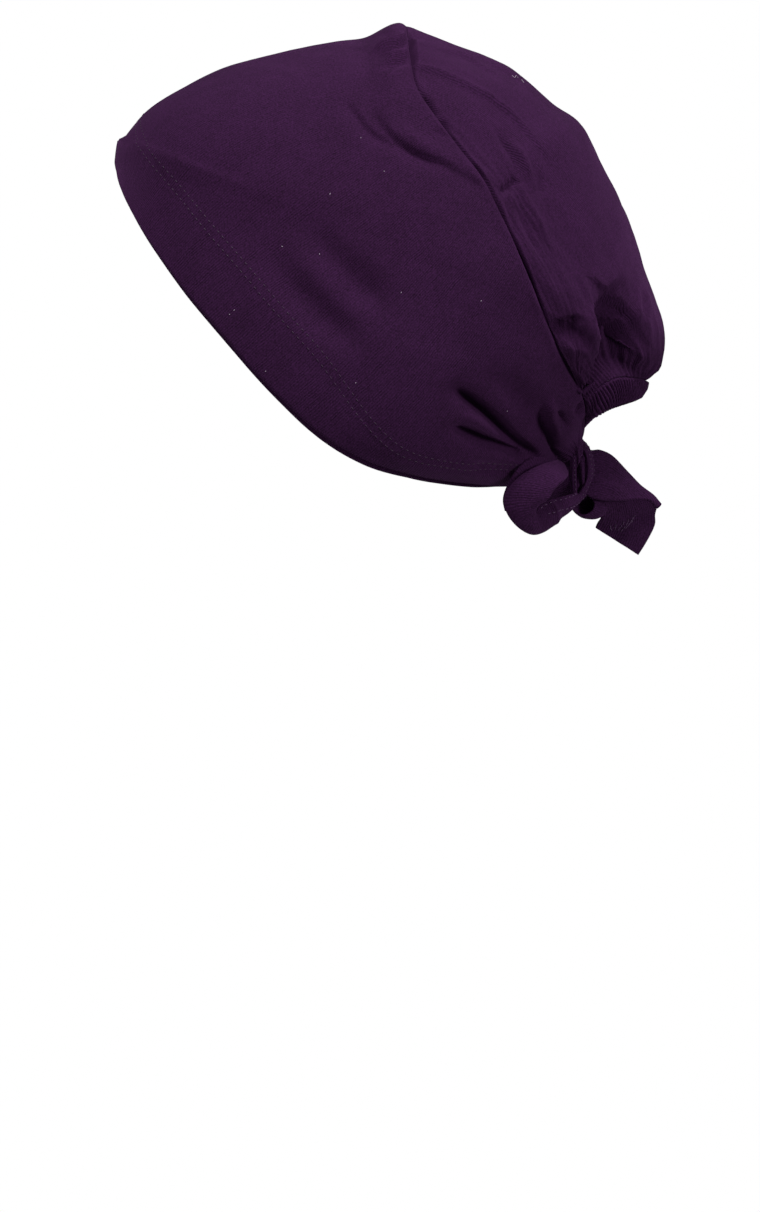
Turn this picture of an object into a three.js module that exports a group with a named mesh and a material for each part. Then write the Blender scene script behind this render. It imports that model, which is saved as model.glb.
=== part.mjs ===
// A tie-back underscarf cap of knitted jersey, in the form it has when worn.
// The face looks along -Y, the wearer's left is +X, and up is +Z.
// The origin is the inside of the crown on the mid-plane, where the cap sits on what it is worn on.

import * as THREE from 'three';
import { mergeVertices } from 'three/addons/utils/BufferGeometryUtils.js';

// Sizes of the cap, in millimetres
const FRONT_REACH = 94.4; // origin to the brow edge
const BACK_REACH = 125.2; // origin to the rearmost cloth of the pouch
const DROP = 178; // origin to the lowest cloth of the nape edge
const HALF_WIDTH = 77; // mid-plane to the widest cloth at the side
const WALL = 1.3; // one layer of jersey
const HEM_WALL = 2.1; // the two layers of the turned front edge
const HEM_WIDTH = 20; // front edge to the inside end of the turned hem
const HEM_STEP = 1.5; // run over which the hem thins to one layer
const HEM_ROLL = 3; // how far the nape edge rolls inward
const HEM_LIMIT = 0.45; // most of a column that its hem may take
const STEP_LIMIT = 0.05; // most of a column that the hem's step may take
const NAPE = { from: 0.55, to: 0.8 }; // shares of the way from brow to knot over which the roll starts
const CLEARANCE = 0.3; // between pieces that are sewn or tied together
const NEAR_SEAM = 0.97; // share of a column at which the cloth's direction into the seam is taken
const FOLD_DEPTH = 4; // the deepest crease that the knot pulls
const FOLD_WIDTH = 5; // half width of that crease

// Sizes of the elastic casing, the knot and the ties, in millimetres
const CASING_WALL = 2.4;
const CASING_GATHERS = 22;
const GATHER_DEPTH = 0.45;
const KNOT_WIDTH = 22; // along X
const KNOT_DEPTH = 9.2; // along Y
const KNOT_HEIGHT = 24; // along Z
const KNOT_SQUARENESS = 0.75; // 1 is an ellipsoid, less is squarer
const KNOT_CENTRE = { y: 0.738, z: -0.966 }; // shares of BACK_REACH and DROP
const TIE_REACH = 32; // knot centre to the far end of a tie
const TIE_WALL = 1.6;
const TIE_CAMBER = 1.2; // rise of a tie's middle over its edges
const LOOP_WALL = 1.3;

// How finely the cloth is divided
const HALF_COLUMNS = 36; // brow to nape, on one side
const SEAM_COLUMNS = 30; // of those, the ones along the seam to the pouch
const PANEL_ROWS = 11; // past the hem, up to the seam
const POUCH_ROWS = 18;
const SAMPLES_PER_GATHER = 4;
const TIE_COLUMNS = 26;
const BAND_ROWS = 4;
const LOOP_COLUMNS = 16;
const OUTLINE_STEPS = 480;
const FOLD_STEPS = 10;
const LENGTH_STEPS = 8; // in which a column's length is measured
const KNOT_SIDES = 18;
const KNOT_RINGS = 10;

// Sections of the front panel, from the mid-plane of the brow round to the nape.
// Each runs from the hem to the seam. Shares: x of HALF_WIDTH, z of DROP,
// y of FRONT_REACH ahead of the origin and of BACK_REACH behind it.
const SECTIONS = [
  { hemX: 0.0, hemY: -1.0, hemZ: -0.274, seamX: 0.0, seamY: 0.179, seamZ: 0.037 },
  { hemX: 0.26, hemY: -0.979, hemZ: -0.319, seamX: 0.285, seamY: 0.188, seamZ: 0.004 },
  { hemX: 0.494, hemY: -0.928, hemZ: -0.384, seamX: 0.52, seamY: 0.195, seamZ: -0.054 },
  { hemX: 0.662, hemY: -0.839, hemZ: -0.463, seamX: 0.662, seamY: 0.214, seamZ: -0.117 },
  { hemX: 0.779, hemY: -0.72, hemZ: -0.551, seamX: 0.753, seamY: 0.262, seamZ: -0.175 },
  { hemX: 0.864, hemY: -0.572, hemZ: -0.645, seamX: 0.831, seamY: 0.329, seamZ: -0.24 },
  { hemX: 0.916, hemY: -0.373, hemZ: -0.766, seamX: 0.883, seamY: 0.415, seamZ: -0.321 },
  { hemX: 0.922, hemY: -0.144, hemZ: -0.881, seamX: 0.909, seamY: 0.489, seamZ: -0.422 },
  { hemX: 0.89, hemY: 0.038, hemZ: -0.944, seamX: 0.896, seamY: 0.546, seamZ: -0.512 },
  { hemX: 0.818, hemY: 0.173, hemZ: -0.975, seamX: 0.844, seamY: 0.601, seamZ: -0.609 },
  { hemX: 0.688, hemY: 0.307, hemZ: -0.993, seamX: 0.753, seamY: 0.649, seamZ: -0.688 },
  { hemX: 0.532, hemY: 0.435, hemZ: -1.0, seamX: 0.623, seamY: 0.696, seamZ: -0.751 },
  { hemX: 0.35, hemY: 0.55, hemZ: -1.002, seamX: 0.46, seamY: 0.744, seamZ: -0.809 },
  { hemX: 0.2, hemY: 0.639, hemZ: -0.998, seamX: 0.27, seamY: 0.744, seamZ: -0.858 },
];

// Where the last section meets the knot: shares of the knot's depth and height, from its centre
const KNOT_END = { hemY: -0.33, hemZ: -0.19, seamY: 0.03, seamZ: 0.33 };

// The cap's side outline on the mid-plane, brow to crown to pouch, in the same shares.
// Its last rows close it under the head, where they only guide the width of the panels.
const OUTLINE = [
  { y: -1.0, z: -0.274 },
  { y: -0.953, z: -0.211 },
  { y: -0.826, z: -0.139 },
  { y: -0.572, z: -0.067 },
  { y: -0.318, z: -0.027 },
  { y: -0.064, z: 0.002 },
  { y: 0.048, z: 0.012 },
  { y: 0.141, z: 0.043 },
  { y: 0.2, z: 0.034 },
  { y: 0.335, z: -0.004 },
  { y: 0.431, z: -0.029 },
  { y: 0.527, z: -0.063 },
  { y: 0.652, z: -0.139 },
  { y: 0.75, z: -0.193 },
  { y: 0.828, z: -0.301 },
  { y: 0.899, z: -0.409 },
  { y: 0.948, z: -0.517 },
  { y: 1.0, z: -0.625 },
  { y: 1.007, z: -0.679 },
  { y: 0.99, z: -0.733 },
  { y: 0.942, z: -0.77 },
  { y: 0.703, z: -0.998 },
  { y: 0.201, z: -1.222 },
  { y: -1.047, z: -0.762 },
];
const FORM_CENTRE = { y: 0.112, z: -0.467 };
const FORM_FULLNESS = 2.4; // 2 is an ellipsoid, more is squarer

// Edges of the elastic casing from the middle of the back to the panel's rear edge, same shares.
// Its last section lies on that edge, between the columns named below.
const CASING = [
  { topX: 0.0, topY: 0.946, topZ: -0.76, lowX: 0.0, lowY: 0.918, lowZ: -0.798 },
  { topX: 0.21, topY: 0.917, topZ: -0.758, lowX: 0.19, lowY: 0.893, lowZ: -0.807 },
  { topX: 0.37, topY: 0.843, topZ: -0.76, lowX: 0.33, lowY: 0.83, lowZ: -0.823 },
  { topX: 0.43, topY: 0.79, topZ: -0.782, lowX: 0.36, lowY: 0.782, lowZ: -0.844 },
];
const CASING_TOP_COLUMN = 31;
const CASING_LOW_COLUMN = 34;
const CASING_END_TRIM = 0.15; // share of a column that keeps its corner clear of the pouch

// Folds, each through three points of the side view, in the same shares.
// depth is a share of FOLD_DEPTH, outward above 0, and width a share of FOLD_WIDTH.
const FOLD_FADE = { from: 0.05, to: 0.3 }; // shares of HALF_WIDTH between which a fold starts
const PANEL_FOLDS = [
  {
    name: 'crown crease', depth: -0.5, width: 0.9,
    y1: -0.02, z1: -0.15, y2: 0.166, z2: -0.255, y3: 0.4, z3: -0.318,
  },
  {
    name: 'upper crown crease', depth: -0.25, width: 0.8,
    y1: 0.05, z1: -0.14, y2: 0.17, z2: -0.21, y3: 0.281, z3: -0.243,
  },
  {
    name: 'front valley', depth: -0.35, width: 1.3,
    y1: -0.458, z1: -0.413, y2: -0.212, z2: -0.58, y3: 0.064, z3: -0.737,
  },
  {
    name: 'rear valley', depth: -0.35, width: 1.3,
    y1: -0.203, z1: -0.431, y2: 0.0, z2: -0.557, y3: 0.166, z3: -0.647,
  },
  {
    name: 'deep knot crease', depth: -1.0, width: 0.85,
    y1: 0.562, z1: -0.93, y2: 0.42, z2: -0.835, y3: 0.281, z3: -0.764,
  },
  {
    name: 'low knot crease', depth: -0.7, width: 0.7,
    y1: 0.55, z1: -0.935, y2: 0.428, z2: -0.903, y3: 0.307, z3: -0.881,
  },
  {
    name: 'broad knot valley', depth: -0.8, width: 1.5,
    y1: 0.63, z1: -0.93, y2: 0.55, z2: -0.81, y3: 0.46, z3: -0.692,
  },
];
const POUCH_FOLDS = [
  {
    name: 'long ridge', depth: 0.35, width: 0.9,
    y1: 0.22, z1: -0.075, y2: 0.447, z2: -0.13, y3: 0.665, z3: -0.297,
  },
  {
    name: 'crown ridge', depth: 0.25, width: 0.8,
    y1: 0.393, z1: -0.03, y2: 0.479, z2: -0.058, y3: 0.537, z3: -0.085,
  },
  {
    name: 'side dent', depth: -0.8, width: 1.2,
    y1: 0.64, z1: -0.65, y2: 0.709, z2: -0.665, y3: 0.76, z3: -0.69,
  },
  {
    name: 'side lobe', depth: 0.7, width: 1.2,
    y1: 0.8, z1: -0.57, y2: 0.765, z2: -0.635, y3: 0.755, z3: -0.74,
  },
  {
    name: 'rear recess', depth: -1.9, width: 1.8,
    y1: 0.895, z1: -0.55, y2: 0.862, z2: -0.64, y3: 0.85, z3: -0.73,
  },
];

// Edges of the ties, from the knot outward. Shares of TIE_REACH from the knot's centre.
const LEFT_TIE = [
  { outX: 0.57, outY: -0.11, outZ: 0.2, inX: 0.46, inY: -0.15, inZ: -0.07 },
  { outX: 0.86, outY: -0.31, outZ: 0.21, inX: 0.69, inY: -0.2, inZ: -0.05 },
  { outX: 1.07, outY: -0.51, outZ: 0.21, inX: 0.91, inY: -0.31, inZ: -0.16 },
  { outX: 1.2, outY: -0.71, outZ: 0.16, inX: 1.05, inY: -0.4, inZ: -0.28 },
  { outX: 1.25, outY: -0.89, outZ: 0.0, inX: 1.15, inY: -0.47, inZ: -0.36 },
  { outX: 1.25, outY: -0.99, outZ: -0.25, inX: 1.19, inY: -0.56, inZ: -0.42 },
  { outX: 1.15, outY: -0.96, outZ: -0.52, inX: 1.13, inY: -0.6, inZ: -0.48 },
  { outX: 1.03, outY: -0.79, outZ: -0.7, inX: 1.0, inY: -0.59, inZ: -0.46 },
  { outX: 0.93, outY: -0.56, outZ: -0.79, inX: 0.88, inY: -0.51, inZ: -0.41 },
  { outX: 0.78, outY: -0.34, outZ: -0.68, inX: 0.75, inY: -0.34, inZ: -0.36 },
  { outX: 0.58, outY: -0.17, outZ: -0.48, inX: 0.55, inY: -0.19, inZ: -0.32 },
];
const RIGHT_TIE = [
  { outX: 0.02, outY: 0.16, outZ: 0.27, inX: 0.08, inY: 0.16, inZ: -0.31 },
  { outX: 0.04, outY: 0.28, outZ: 0.26, inX: 0.16, inY: 0.29, inZ: -0.34 },
  { outX: -0.1, outY: 0.46, outZ: 0.13, inX: 0.25, inY: 0.44, inZ: -0.35 },
  { outX: -0.2, outY: 0.65, outZ: -0.06, inX: 0.28, inY: 0.61, inZ: -0.36 },
  { outX: -0.25, outY: 0.82, outZ: -0.24, inX: 0.28, inY: 0.78, inZ: -0.37 },
  { outX: -0.3, outY: 0.96, outZ: -0.37, inX: 0.24, inY: 0.93, inZ: -0.39 },
  { outX: -0.37, outY: 1.0, outZ: -0.46, inX: 0.12, inY: 0.87, inZ: -0.43 },
  { outX: -0.38, outY: 0.96, outZ: -0.61, inX: -0.03, inY: 0.69, inZ: -0.44 },
  { outX: -0.35, outY: 0.86, outZ: -0.82, inX: -0.13, inY: 0.44, inZ: -0.49 },
  { outX: -0.28, outY: 0.72, outZ: -1.05, inX: -0.16, inY: 0.18, inZ: -0.67 },
];

// The small loop of cloth under the knot: a ring about an axis near X, shares of TIE_REACH
const KNOT_LOOP = { y: 0.05, radiusY: 0.16, radiusZ: 0.11, nearX: 0.14, farX: -0.08, lean: 0.06 };

const scaleY = (share) => share * (share < 0 ? FRONT_REACH : BACK_REACH);
const place = (x, y, z) => new THREE.Vector3(x * HALF_WIDTH, scaleY(y), z * DROP);
const mirrored = (point) => new THREE.Vector3(-point.x, point.y, point.z);
const centre = place(0, FORM_CENTRE.y, FORM_CENTRE.z);
const knotCentre = place(0, KNOT_CENTRE.y, KNOT_CENTRE.z);

// A smooth curve through points
function through(points, closed = false) {
  return new THREE.CatmullRomCurve3(points, closed, 'catmullrom', 0.5);
}

// A curve from the right nape over the mid-plane to the left nape, from the points of the left side
function bothSides(points) {
  return through([...points.slice(1).reverse().map(mirrored), ...points]);
}

// Distance from the form's centre to the side outline, at an angle in the mid-plane
const outlinePoints = through(OUTLINE.map(({ y, z }) => place(0, y, z)), true).getPoints(OUTLINE_STEPS);
const outlineTable = outlinePoints
  .map((point) => point.clone().sub(centre))
  .map((arm) => ({ angle: Math.atan2(arm.z, arm.y), reach: arm.length() }))
  .sort((a, b) => a.angle - b.angle);

function outlineReach(angle) {
  const after = outlineTable.findIndex((row) => row.angle > angle);
  const next = outlineTable[after < 0 ? 0 : after];
  const last = outlineTable.at(after < 0 ? -1 : after - 1);
  const turn = (from, to) => (to - from + 2 * Math.PI) % (2 * Math.PI);
  const span = turn(last.angle, next.angle);
  return THREE.MathUtils.lerp(last.reach, next.reach, span > 0 ? turn(last.angle, angle) / span : 0);
}

// Distance from the form's centre to the worn form, in a direction
function formReach(direction) {
  const reach = outlineReach(Math.atan2(direction.z, direction.y));
  const side = Math.abs(direction.x) / HALF_WIDTH;
  const length = Math.hypot(direction.y, direction.z) / reach;
  return (side ** FORM_FULLNESS + length ** FORM_FULLNESS) ** (-1 / FORM_FULLNESS);
}

// Cloth stretched over the form between two points: the direction turns evenly from one to the
// other, and the form's reach is eased so that the cloth starts and ends on them
function stretched(from, to, share) {
  const armFrom = from.clone().sub(centre);
  const armTo = to.clone().sub(centre);
  const turn = armFrom.angleTo(armTo);
  const easeFrom = armFrom.length() / formReach(armFrom.clone().normalize());
  const easeTo = armTo.length() / formReach(armTo.clone().normalize());
  const direction = armFrom.normalize().multiplyScalar(Math.sin((1 - share) * turn))
    .addScaledVector(armTo.normalize(), Math.sin(share * turn))
    .normalize();
  const reach = formReach(direction) * THREE.MathUtils.lerp(easeFrom, easeTo, share);
  return direction.multiplyScalar(reach).add(centre);
}

// A fold's line in the side view, as short steps
function foldLine({ y1, z1, y2, z2, y3, z3 }) {
  return through([place(0, y1, z1), place(0, y2, z2), place(0, y3, z3)]).getPoints(FOLD_STEPS);
}

function distanceInSideView(point, line) {
  const flat = new THREE.Vector3(0, point.y, point.z);
  const nearest = new THREE.Vector3();
  const distances = line.slice(1).map((end, step) => {
    new THREE.Line3(line[step], end).closestPointToPoint(flat, true, nearest);
    return nearest.distanceTo(flat);
  });
  return Math.min(...distances);
}

// How far the folds move a point of the cloth outward: a bell-shaped groove or ridge for each fold,
// which fades out towards the mid-plane, so that the side outline stays as drawn
function foldHeight(point, folds) {
  const side = THREE.MathUtils.smoothstep(Math.abs(point.x) / HALF_WIDTH, FOLD_FADE.from, FOLD_FADE.to);
  return folds.reduce((height, fold) => {
    const away = distanceInSideView(point, fold.line) / (fold.width * FOLD_WIDTH);
    return height + side * fold.depth * FOLD_DEPTH * Math.exp(-away * away);
  }, 0);
}

// Outward directions of a grid of cloth, from its neighbours along and across
function gridNormals(grid, looped = false) {
  const columns = grid.length;
  const rows = grid[0].length;
  const columnAt = (column) => (looped
    ? (column + columns) % columns
    : THREE.MathUtils.clamp(column, 0, columns - 1));
  const rowAt = (row) => THREE.MathUtils.clamp(row, 0, rows - 1);
  return grid.map((line, column) => line.map((point, row) => {
    const along = grid[columnAt(column + 1)][row].clone().sub(grid[columnAt(column - 1)][row]);
    const across = grid[column][rowAt(row + 1)].clone().sub(grid[column][rowAt(row - 1)]);
    return along.cross(across).normalize();
  }));
}

function moved(grid, normals, amount) {
  return grid.map((line, column) => line.map((point, row) => (
    point.clone().addScaledVector(normals[column][row], amount(column, row, point)))));
}

// A closed body between an outer grid and an inner grid of the same size
function bodyBetween(outer, inner, looped = false) {
  const columns = outer.length;
  const rows = outer[0].length;
  const corners = [...outer.flat(), ...inner.flat()];
  const faces = [];
  const at = (side, column, row) => (side * columns + (column % columns)) * rows + row;
  const quad = (a, b, c, d) => faces.push(a, b, c, a, c, d);
  for (let column = 0; column < columns - (looped ? 0 : 1); column += 1) {
    const next = column + 1;
    for (let row = 0; row < rows - 1; row += 1) {
      quad(at(0, column, row), at(0, next, row), at(0, next, row + 1), at(0, column, row + 1));
      quad(at(1, column, row), at(1, column, row + 1), at(1, next, row + 1), at(1, next, row));
    }
    quad(at(0, next, 0), at(0, column, 0), at(1, column, 0), at(1, next, 0));
    quad(at(0, column, rows - 1), at(0, next, rows - 1), at(1, next, rows - 1), at(1, column, rows - 1));
  }
  for (let row = 0; row < rows - 1 && !looped; row += 1) {
    const end = columns - 1;
    quad(at(0, 0, row), at(0, 0, row + 1), at(1, 0, row + 1), at(1, 0, row));
    quad(at(0, end, row + 1), at(0, end, row), at(1, end, row), at(1, end, row + 1));
  }
  const geometry = new THREE.BufferGeometry();
  const numbers = corners.flatMap((corner) => corner.toArray());
  geometry.setAttribute('position', new THREE.Float32BufferAttribute(numbers, 3));
  geometry.setIndex(faces);
  geometry.computeVertexNormals();
  return geometry;
}

// The hem and seam lines, from the right side of the knot to its left side
const knotSide = KNOT_WIDTH / 2 + 2 * CLEARANCE;
const knotPoint = (y, z) => new THREE.Vector3(knotSide, y * KNOT_DEPTH, z * KNOT_HEIGHT).add(knotCentre);
const hemLine = bothSides([
  ...SECTIONS.map(({ hemX, hemY, hemZ }) => place(hemX, hemY, hemZ)),
  knotPoint(KNOT_END.hemY, KNOT_END.hemZ),
]);
const seamLine = bothSides([
  ...SECTIONS.map(({ seamX, seamY, seamZ }) => place(seamX, seamY, seamZ)),
  knotPoint(KNOT_END.seamY, KNOT_END.seamZ),
]);
const columnShare = (column) => 0.5 + column / (2 * HALF_COLUMNS);
const hemAt = (column) => hemLine.getPoint(columnShare(column));
const seamAt = (column) => seamLine.getPoint(columnShare(column));

// A point just beyond the front panel's rear edge, along its cloth and square to the edge
function beyondSeam(column, clearance = CLEARANCE) {
  const seam = seamAt(column);
  const tangent = seamLine.getTangent(columnShare(column));
  const outward = seam.clone().sub(stretched(hemAt(column), seam, NEAR_SEAM));
  outward.addScaledVector(tangent, -outward.dot(tangent)).normalize();
  return seam.addScaledVector(outward, clearance);
}

// Front panel: rows from the hem, two on the turned hem and one on its step, then evenly to the seam
function panelRows(from, to) {
  const shareOf = (step) => step / LENGTH_STEPS;
  const steps = Array.from({ length: LENGTH_STEPS + 1 }, (_, step) => stretched(from, to, shareOf(step)));
  const length = steps.slice(1).reduce((sum, point, step) => sum + point.distanceTo(steps[step]), 0);
  const hem = Math.min(HEM_WIDTH / length, HEM_LIMIT);
  const step = hem + Math.min(HEM_STEP / length, STEP_LIMIT);
  const rest = Array.from({ length: PANEL_ROWS }, (_, row) => step + (1 - step) * (row + 1) / PANEL_ROWS);
  return [0, hem / 2, hem, step, ...rest];
}
const HEM_ROWS = 3;

function frontPanelGrid() {
  const folds = PANEL_FOLDS.map((fold) => ({ ...fold, line: foldLine(fold) }));
  const columns = Array.from({ length: 2 * HALF_COLUMNS + 1 }, (_, column) => column - HALF_COLUMNS);
  const smooth = columns.map((column) => {
    const hem = hemAt(column);
    const seam = seamAt(column);
    return panelRows(hem, seam).map((share) => stretched(hem, seam, share));
  });
  const wayToKnot = (column) => Math.abs(column - HALF_COLUMNS) / HALF_COLUMNS;
  const napeShare = (column) => THREE.MathUtils.smoothstep(wayToKnot(column), NAPE.from, NAPE.to);
  const lastRow = smooth[0].length - 1;
  return moved(smooth, gridNormals(smooth), (column, row, point) => {
    const roll = row === 0 ? HEM_ROLL * napeShare(column) : 0;
    const seamed = row === lastRow ? 0 : 1;
    return seamed * foldHeight(point, folds) - roll;
  });
}

// Back panel: columns from the right end of the seam to its left end, rows from the seam to the casing
const casingTop = bothSides([
  ...CASING.map(({ topX, topY, topZ }) => place(topX, topY, topZ)),
  beyondSeam(CASING_TOP_COLUMN),
]);
const casingLow = bothSides([
  ...CASING.map(({ lowX, lowY, lowZ }) => place(lowX, lowY, lowZ)),
  beyondSeam(CASING_LOW_COLUMN),
]);

function backPanelGrid() {
  const folds = POUCH_FOLDS.map((fold) => ({ ...fold, line: foldLine(fold) }));
  const smooth = Array.from({ length: 2 * SEAM_COLUMNS + 1 }, (_, column) => {
    const seam = beyondSeam(column - SEAM_COLUMNS);
    const casing = casingTop.getPoint(column / (2 * SEAM_COLUMNS));
    return Array.from({ length: POUCH_ROWS + 1 }, (__, row) => stretched(seam, casing, row / POUCH_ROWS));
  });
  return moved(smooth, gridNormals(smooth), (column, row, point) => (
    row === 0 || row === POUCH_ROWS ? 0 : foldHeight(point, folds)));
}

const rowOf = (grid, row) => grid.map((line) => line.at(row));

// Pieces that are sewn edge to edge share the front panel's outward direction there, so that
// the ends of their walls stay parallel
const frontGrid = frontPanelGrid();
const backGrid = backPanelGrid();
const frontNormals = gridNormals(frontGrid);
const backNormals = gridNormals(backGrid);
const seamDirections = rowOf(frontNormals, -1);
const seamDirection = (column) => seamDirections[HALF_COLUMNS + Math.round(column)];

const casingColumns = 2 * Math.round(CASING_GATHERS * SAMPLES_PER_GATHER / 2);
const casingGrid = Array.from({ length: casingColumns + 1 }, (_, column) => {
  const share = column / casingColumns;
  const top = casingTop.getPoint(share);
  const low = casingLow.getPoint(share);
  const start = CLEARANCE / top.distanceTo(low);
  return Array.from({ length: BAND_ROWS }, (__, row) => (
    top.clone().lerp(low, THREE.MathUtils.lerp(start, 1, row / (BAND_ROWS - 1)))));
});
const casingNormals = gridNormals(casingGrid);
casingNormals[0].forEach((normal, row) => {
  const column = THREE.MathUtils.lerp(CASING_TOP_COLUMN, CASING_LOW_COLUMN, row / (BAND_ROWS - 1));
  const trimmed = Math.max(column, CASING_TOP_COLUMN + CASING_END_TRIM);
  casingGrid.at(-1)[row].copy(beyondSeam(trimmed, 2 * CLEARANCE));
  casingGrid[0][row].copy(mirrored(casingGrid.at(-1)[row]));
  normal.copy(seamDirection(-column));
  casingNormals.at(-1)[row].copy(seamDirection(column));
});
backNormals.forEach((line, column) => {
  line[0].copy(seamDirection(column - SEAM_COLUMNS));
  line.at(-1).copy(casingNormals[Math.round(column / (2 * SEAM_COLUMNS) * casingColumns)][0]);
});
backNormals[0].forEach((normal, row) => {
  normal.copy(seamDirection(-SEAM_COLUMNS));
  backNormals.at(-1)[row].copy(seamDirection(SEAM_COLUMNS));
});

function frontPanel() {
  const wall = (column, row) => -(row < HEM_ROWS ? HEM_WALL : WALL);
  return bodyBetween(frontGrid, moved(frontGrid, frontNormals, wall));
}

function backPanel() {
  return bodyBetween(backGrid, moved(backGrid, backNormals, () => -WALL));
}

// A band with rounded middle: the grid is its mid-surface, gather is a ripple along it
function bandBody(grid, wall, camber, gather, looped = false, normals = gridNormals(grid, looped)) {
  const rise = (row) => camber * Math.sin(Math.PI * row / (BAND_ROWS - 1));
  const outer = moved(grid, normals, (column, row) => wall / 2 + rise(row) + gather(column));
  const inner = moved(grid, normals, (column, row) => rise(row) - wall / 2 - gather(column));
  return bodyBetween(outer, inner, looped);
}

function elasticCasing() {
  const ripple = (column) => (GATHER_DEPTH / 2) * Math.cos(2 * Math.PI * column / SAMPLES_PER_GATHER);
  return bandBody(casingGrid, CASING_WALL, 0, ripple, false, casingNormals);
}

// Knot: a rounded lump, squarer than an ellipsoid
function knot() {
  const lump = new THREE.SphereGeometry(1, KNOT_SIDES, KNOT_RINGS);
  lump.rotateX(Math.PI / 2);
  lump.deleteAttribute('uv');
  lump.deleteAttribute('normal');
  const body = mergeVertices(lump);
  const position = body.getAttribute('position');
  const squared = (value) => Math.sign(value) * Math.abs(value) ** KNOT_SQUARENESS;
  for (let corner = 0; corner < position.count; corner += 1) {
    position.setXYZ(
      corner,
      squared(position.getX(corner)) * KNOT_WIDTH / 2,
      squared(position.getY(corner)) * KNOT_DEPTH / 2,
      squared(position.getZ(corner)) * KNOT_HEIGHT / 2,
    );
  }
  body.computeVertexNormals();
  return body;
}

// A tie between its two edges, which are given as shares of TIE_REACH from the knot's centre
function tie(rows) {
  const edge = (x, y, z) => new THREE.Vector3(x, y, z).multiplyScalar(TIE_REACH);
  const out = through(rows.map(({ outX, outY, outZ }) => edge(outX, outY, outZ)));
  const inn = through(rows.map(({ inX, inY, inZ }) => edge(inX, inY, inZ)));
  const grid = Array.from({ length: TIE_COLUMNS + 1 }, (_, column) => {
    const from = out.getPoint(column / TIE_COLUMNS);
    const to = inn.getPoint(column / TIE_COLUMNS);
    return Array.from({ length: BAND_ROWS }, (__, row) => from.clone().lerp(to, row / (BAND_ROWS - 1)));
  });
  return bandBody(grid, TIE_WALL, TIE_CAMBER, () => 0);
}

// The loop of cloth under the knot: a short open ring whose top lies just below the knot
function knotLoop() {
  const { y, radiusY, radiusZ, nearX, farX, lean } = KNOT_LOOP;
  const drop = KNOT_HEIGHT / 2 + CLEARANCE + LOOP_WALL / 2 + radiusZ * TIE_REACH;
  const grid = Array.from({ length: LOOP_COLUMNS }, (_, column) => {
    const angle = -2 * Math.PI * column / LOOP_COLUMNS;
    return Array.from({ length: BAND_ROWS }, (__, row) => {
      const along = row / (BAND_ROWS - 1);
      return new THREE.Vector3(
        THREE.MathUtils.lerp(nearX, farX, along) * TIE_REACH,
        (y + lean * along + radiusY * Math.cos(angle)) * TIE_REACH,
        radiusZ * Math.sin(angle) * TIE_REACH - drop,
      );
    });
  });
  return bandBody(grid, LOOP_WALL, 0, () => 0, true);
}

const jersey = () => new THREE.MeshStandardMaterial({ color: 0x3a1d40, roughness: 0.88, metalness: 0 });

function piece(name, geometry, position = new THREE.Vector3()) {
  const mesh = new THREE.Mesh(geometry, jersey());
  mesh.name = name;
  mesh.position.copy(position);
  return mesh;
}

const cap = new THREE.Group();
cap.name = 'underscarf_cap';
cap.add(
  piece('front_panel', frontPanel()),
  piece('back_panel', backPanel()),
  piece('elastic_casing', elasticCasing()),
  piece('knot', knot(), knotCentre),
  piece('knot_loop', knotLoop(), knotCentre),
  piece('left_tie', tie(LEFT_TIE), knotCentre),
  piece('right_tie', tie(RIGHT_TIE), knotCentre),
);

export default cap;
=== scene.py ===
"""Dresses a tie-back underscarf cap in knitted jersey, round its solid model.

Lengths inside the shape code are millimetres and meshes are made in metres. The side view is the
plane of Y, towards the back, and Z, up. +X is the wearer's left, which faces the camera.
"""

import logging
from dataclasses import dataclass, field
from enum import Enum
from functools import cached_property, partial
from typing import Callable

import bpy
import mathutils
import numpy as np
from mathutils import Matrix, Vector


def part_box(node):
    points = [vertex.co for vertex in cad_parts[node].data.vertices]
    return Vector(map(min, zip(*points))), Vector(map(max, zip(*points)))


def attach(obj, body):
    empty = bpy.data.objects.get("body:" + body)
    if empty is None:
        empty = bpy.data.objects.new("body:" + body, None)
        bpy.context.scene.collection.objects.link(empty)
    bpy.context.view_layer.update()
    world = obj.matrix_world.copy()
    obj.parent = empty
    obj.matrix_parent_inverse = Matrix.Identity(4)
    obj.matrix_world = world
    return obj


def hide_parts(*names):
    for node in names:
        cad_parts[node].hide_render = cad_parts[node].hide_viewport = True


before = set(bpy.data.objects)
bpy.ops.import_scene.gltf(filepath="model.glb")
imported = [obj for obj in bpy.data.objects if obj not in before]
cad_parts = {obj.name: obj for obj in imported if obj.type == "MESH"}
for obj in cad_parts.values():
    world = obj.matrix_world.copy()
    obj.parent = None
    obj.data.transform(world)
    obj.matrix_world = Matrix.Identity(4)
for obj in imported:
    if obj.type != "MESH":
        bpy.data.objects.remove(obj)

LOG = logging.getLogger("cap")
Array = np.ndarray
Places = tuple[Array, Array, Array]  # points on the cloth, directions along a line and directions outward

MM = 0.001
KNIT_MAP = "knit"  # the map that places the knit's ribs, in millimetres of cloth
WALL = 1.3  # mm of jersey, as on the solids
CLEARANCE = 0.3  # mm between two sewn pieces, as on the solids
HALF_COLUMNS = 36  # columns of the solid model on one side, in which its seam ends are counted
SEAM_END = 30 / HALF_COLUMNS
CASING_TOP_END = 31 / HALF_COLUMNS
CASING_LOW_END = 34 / HALF_COLUMNS
SEAM_STEPS = np.array([0.0, 0.25, 0.55, 0.9, 1.4, 2.0, 3.0, 4.2, 5.6])  # mm from a seam to its rows
ROUGH_ROWS = np.linspace(0.0, 1.0, 25)  # rows that measure a panel before its own rows are set

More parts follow.
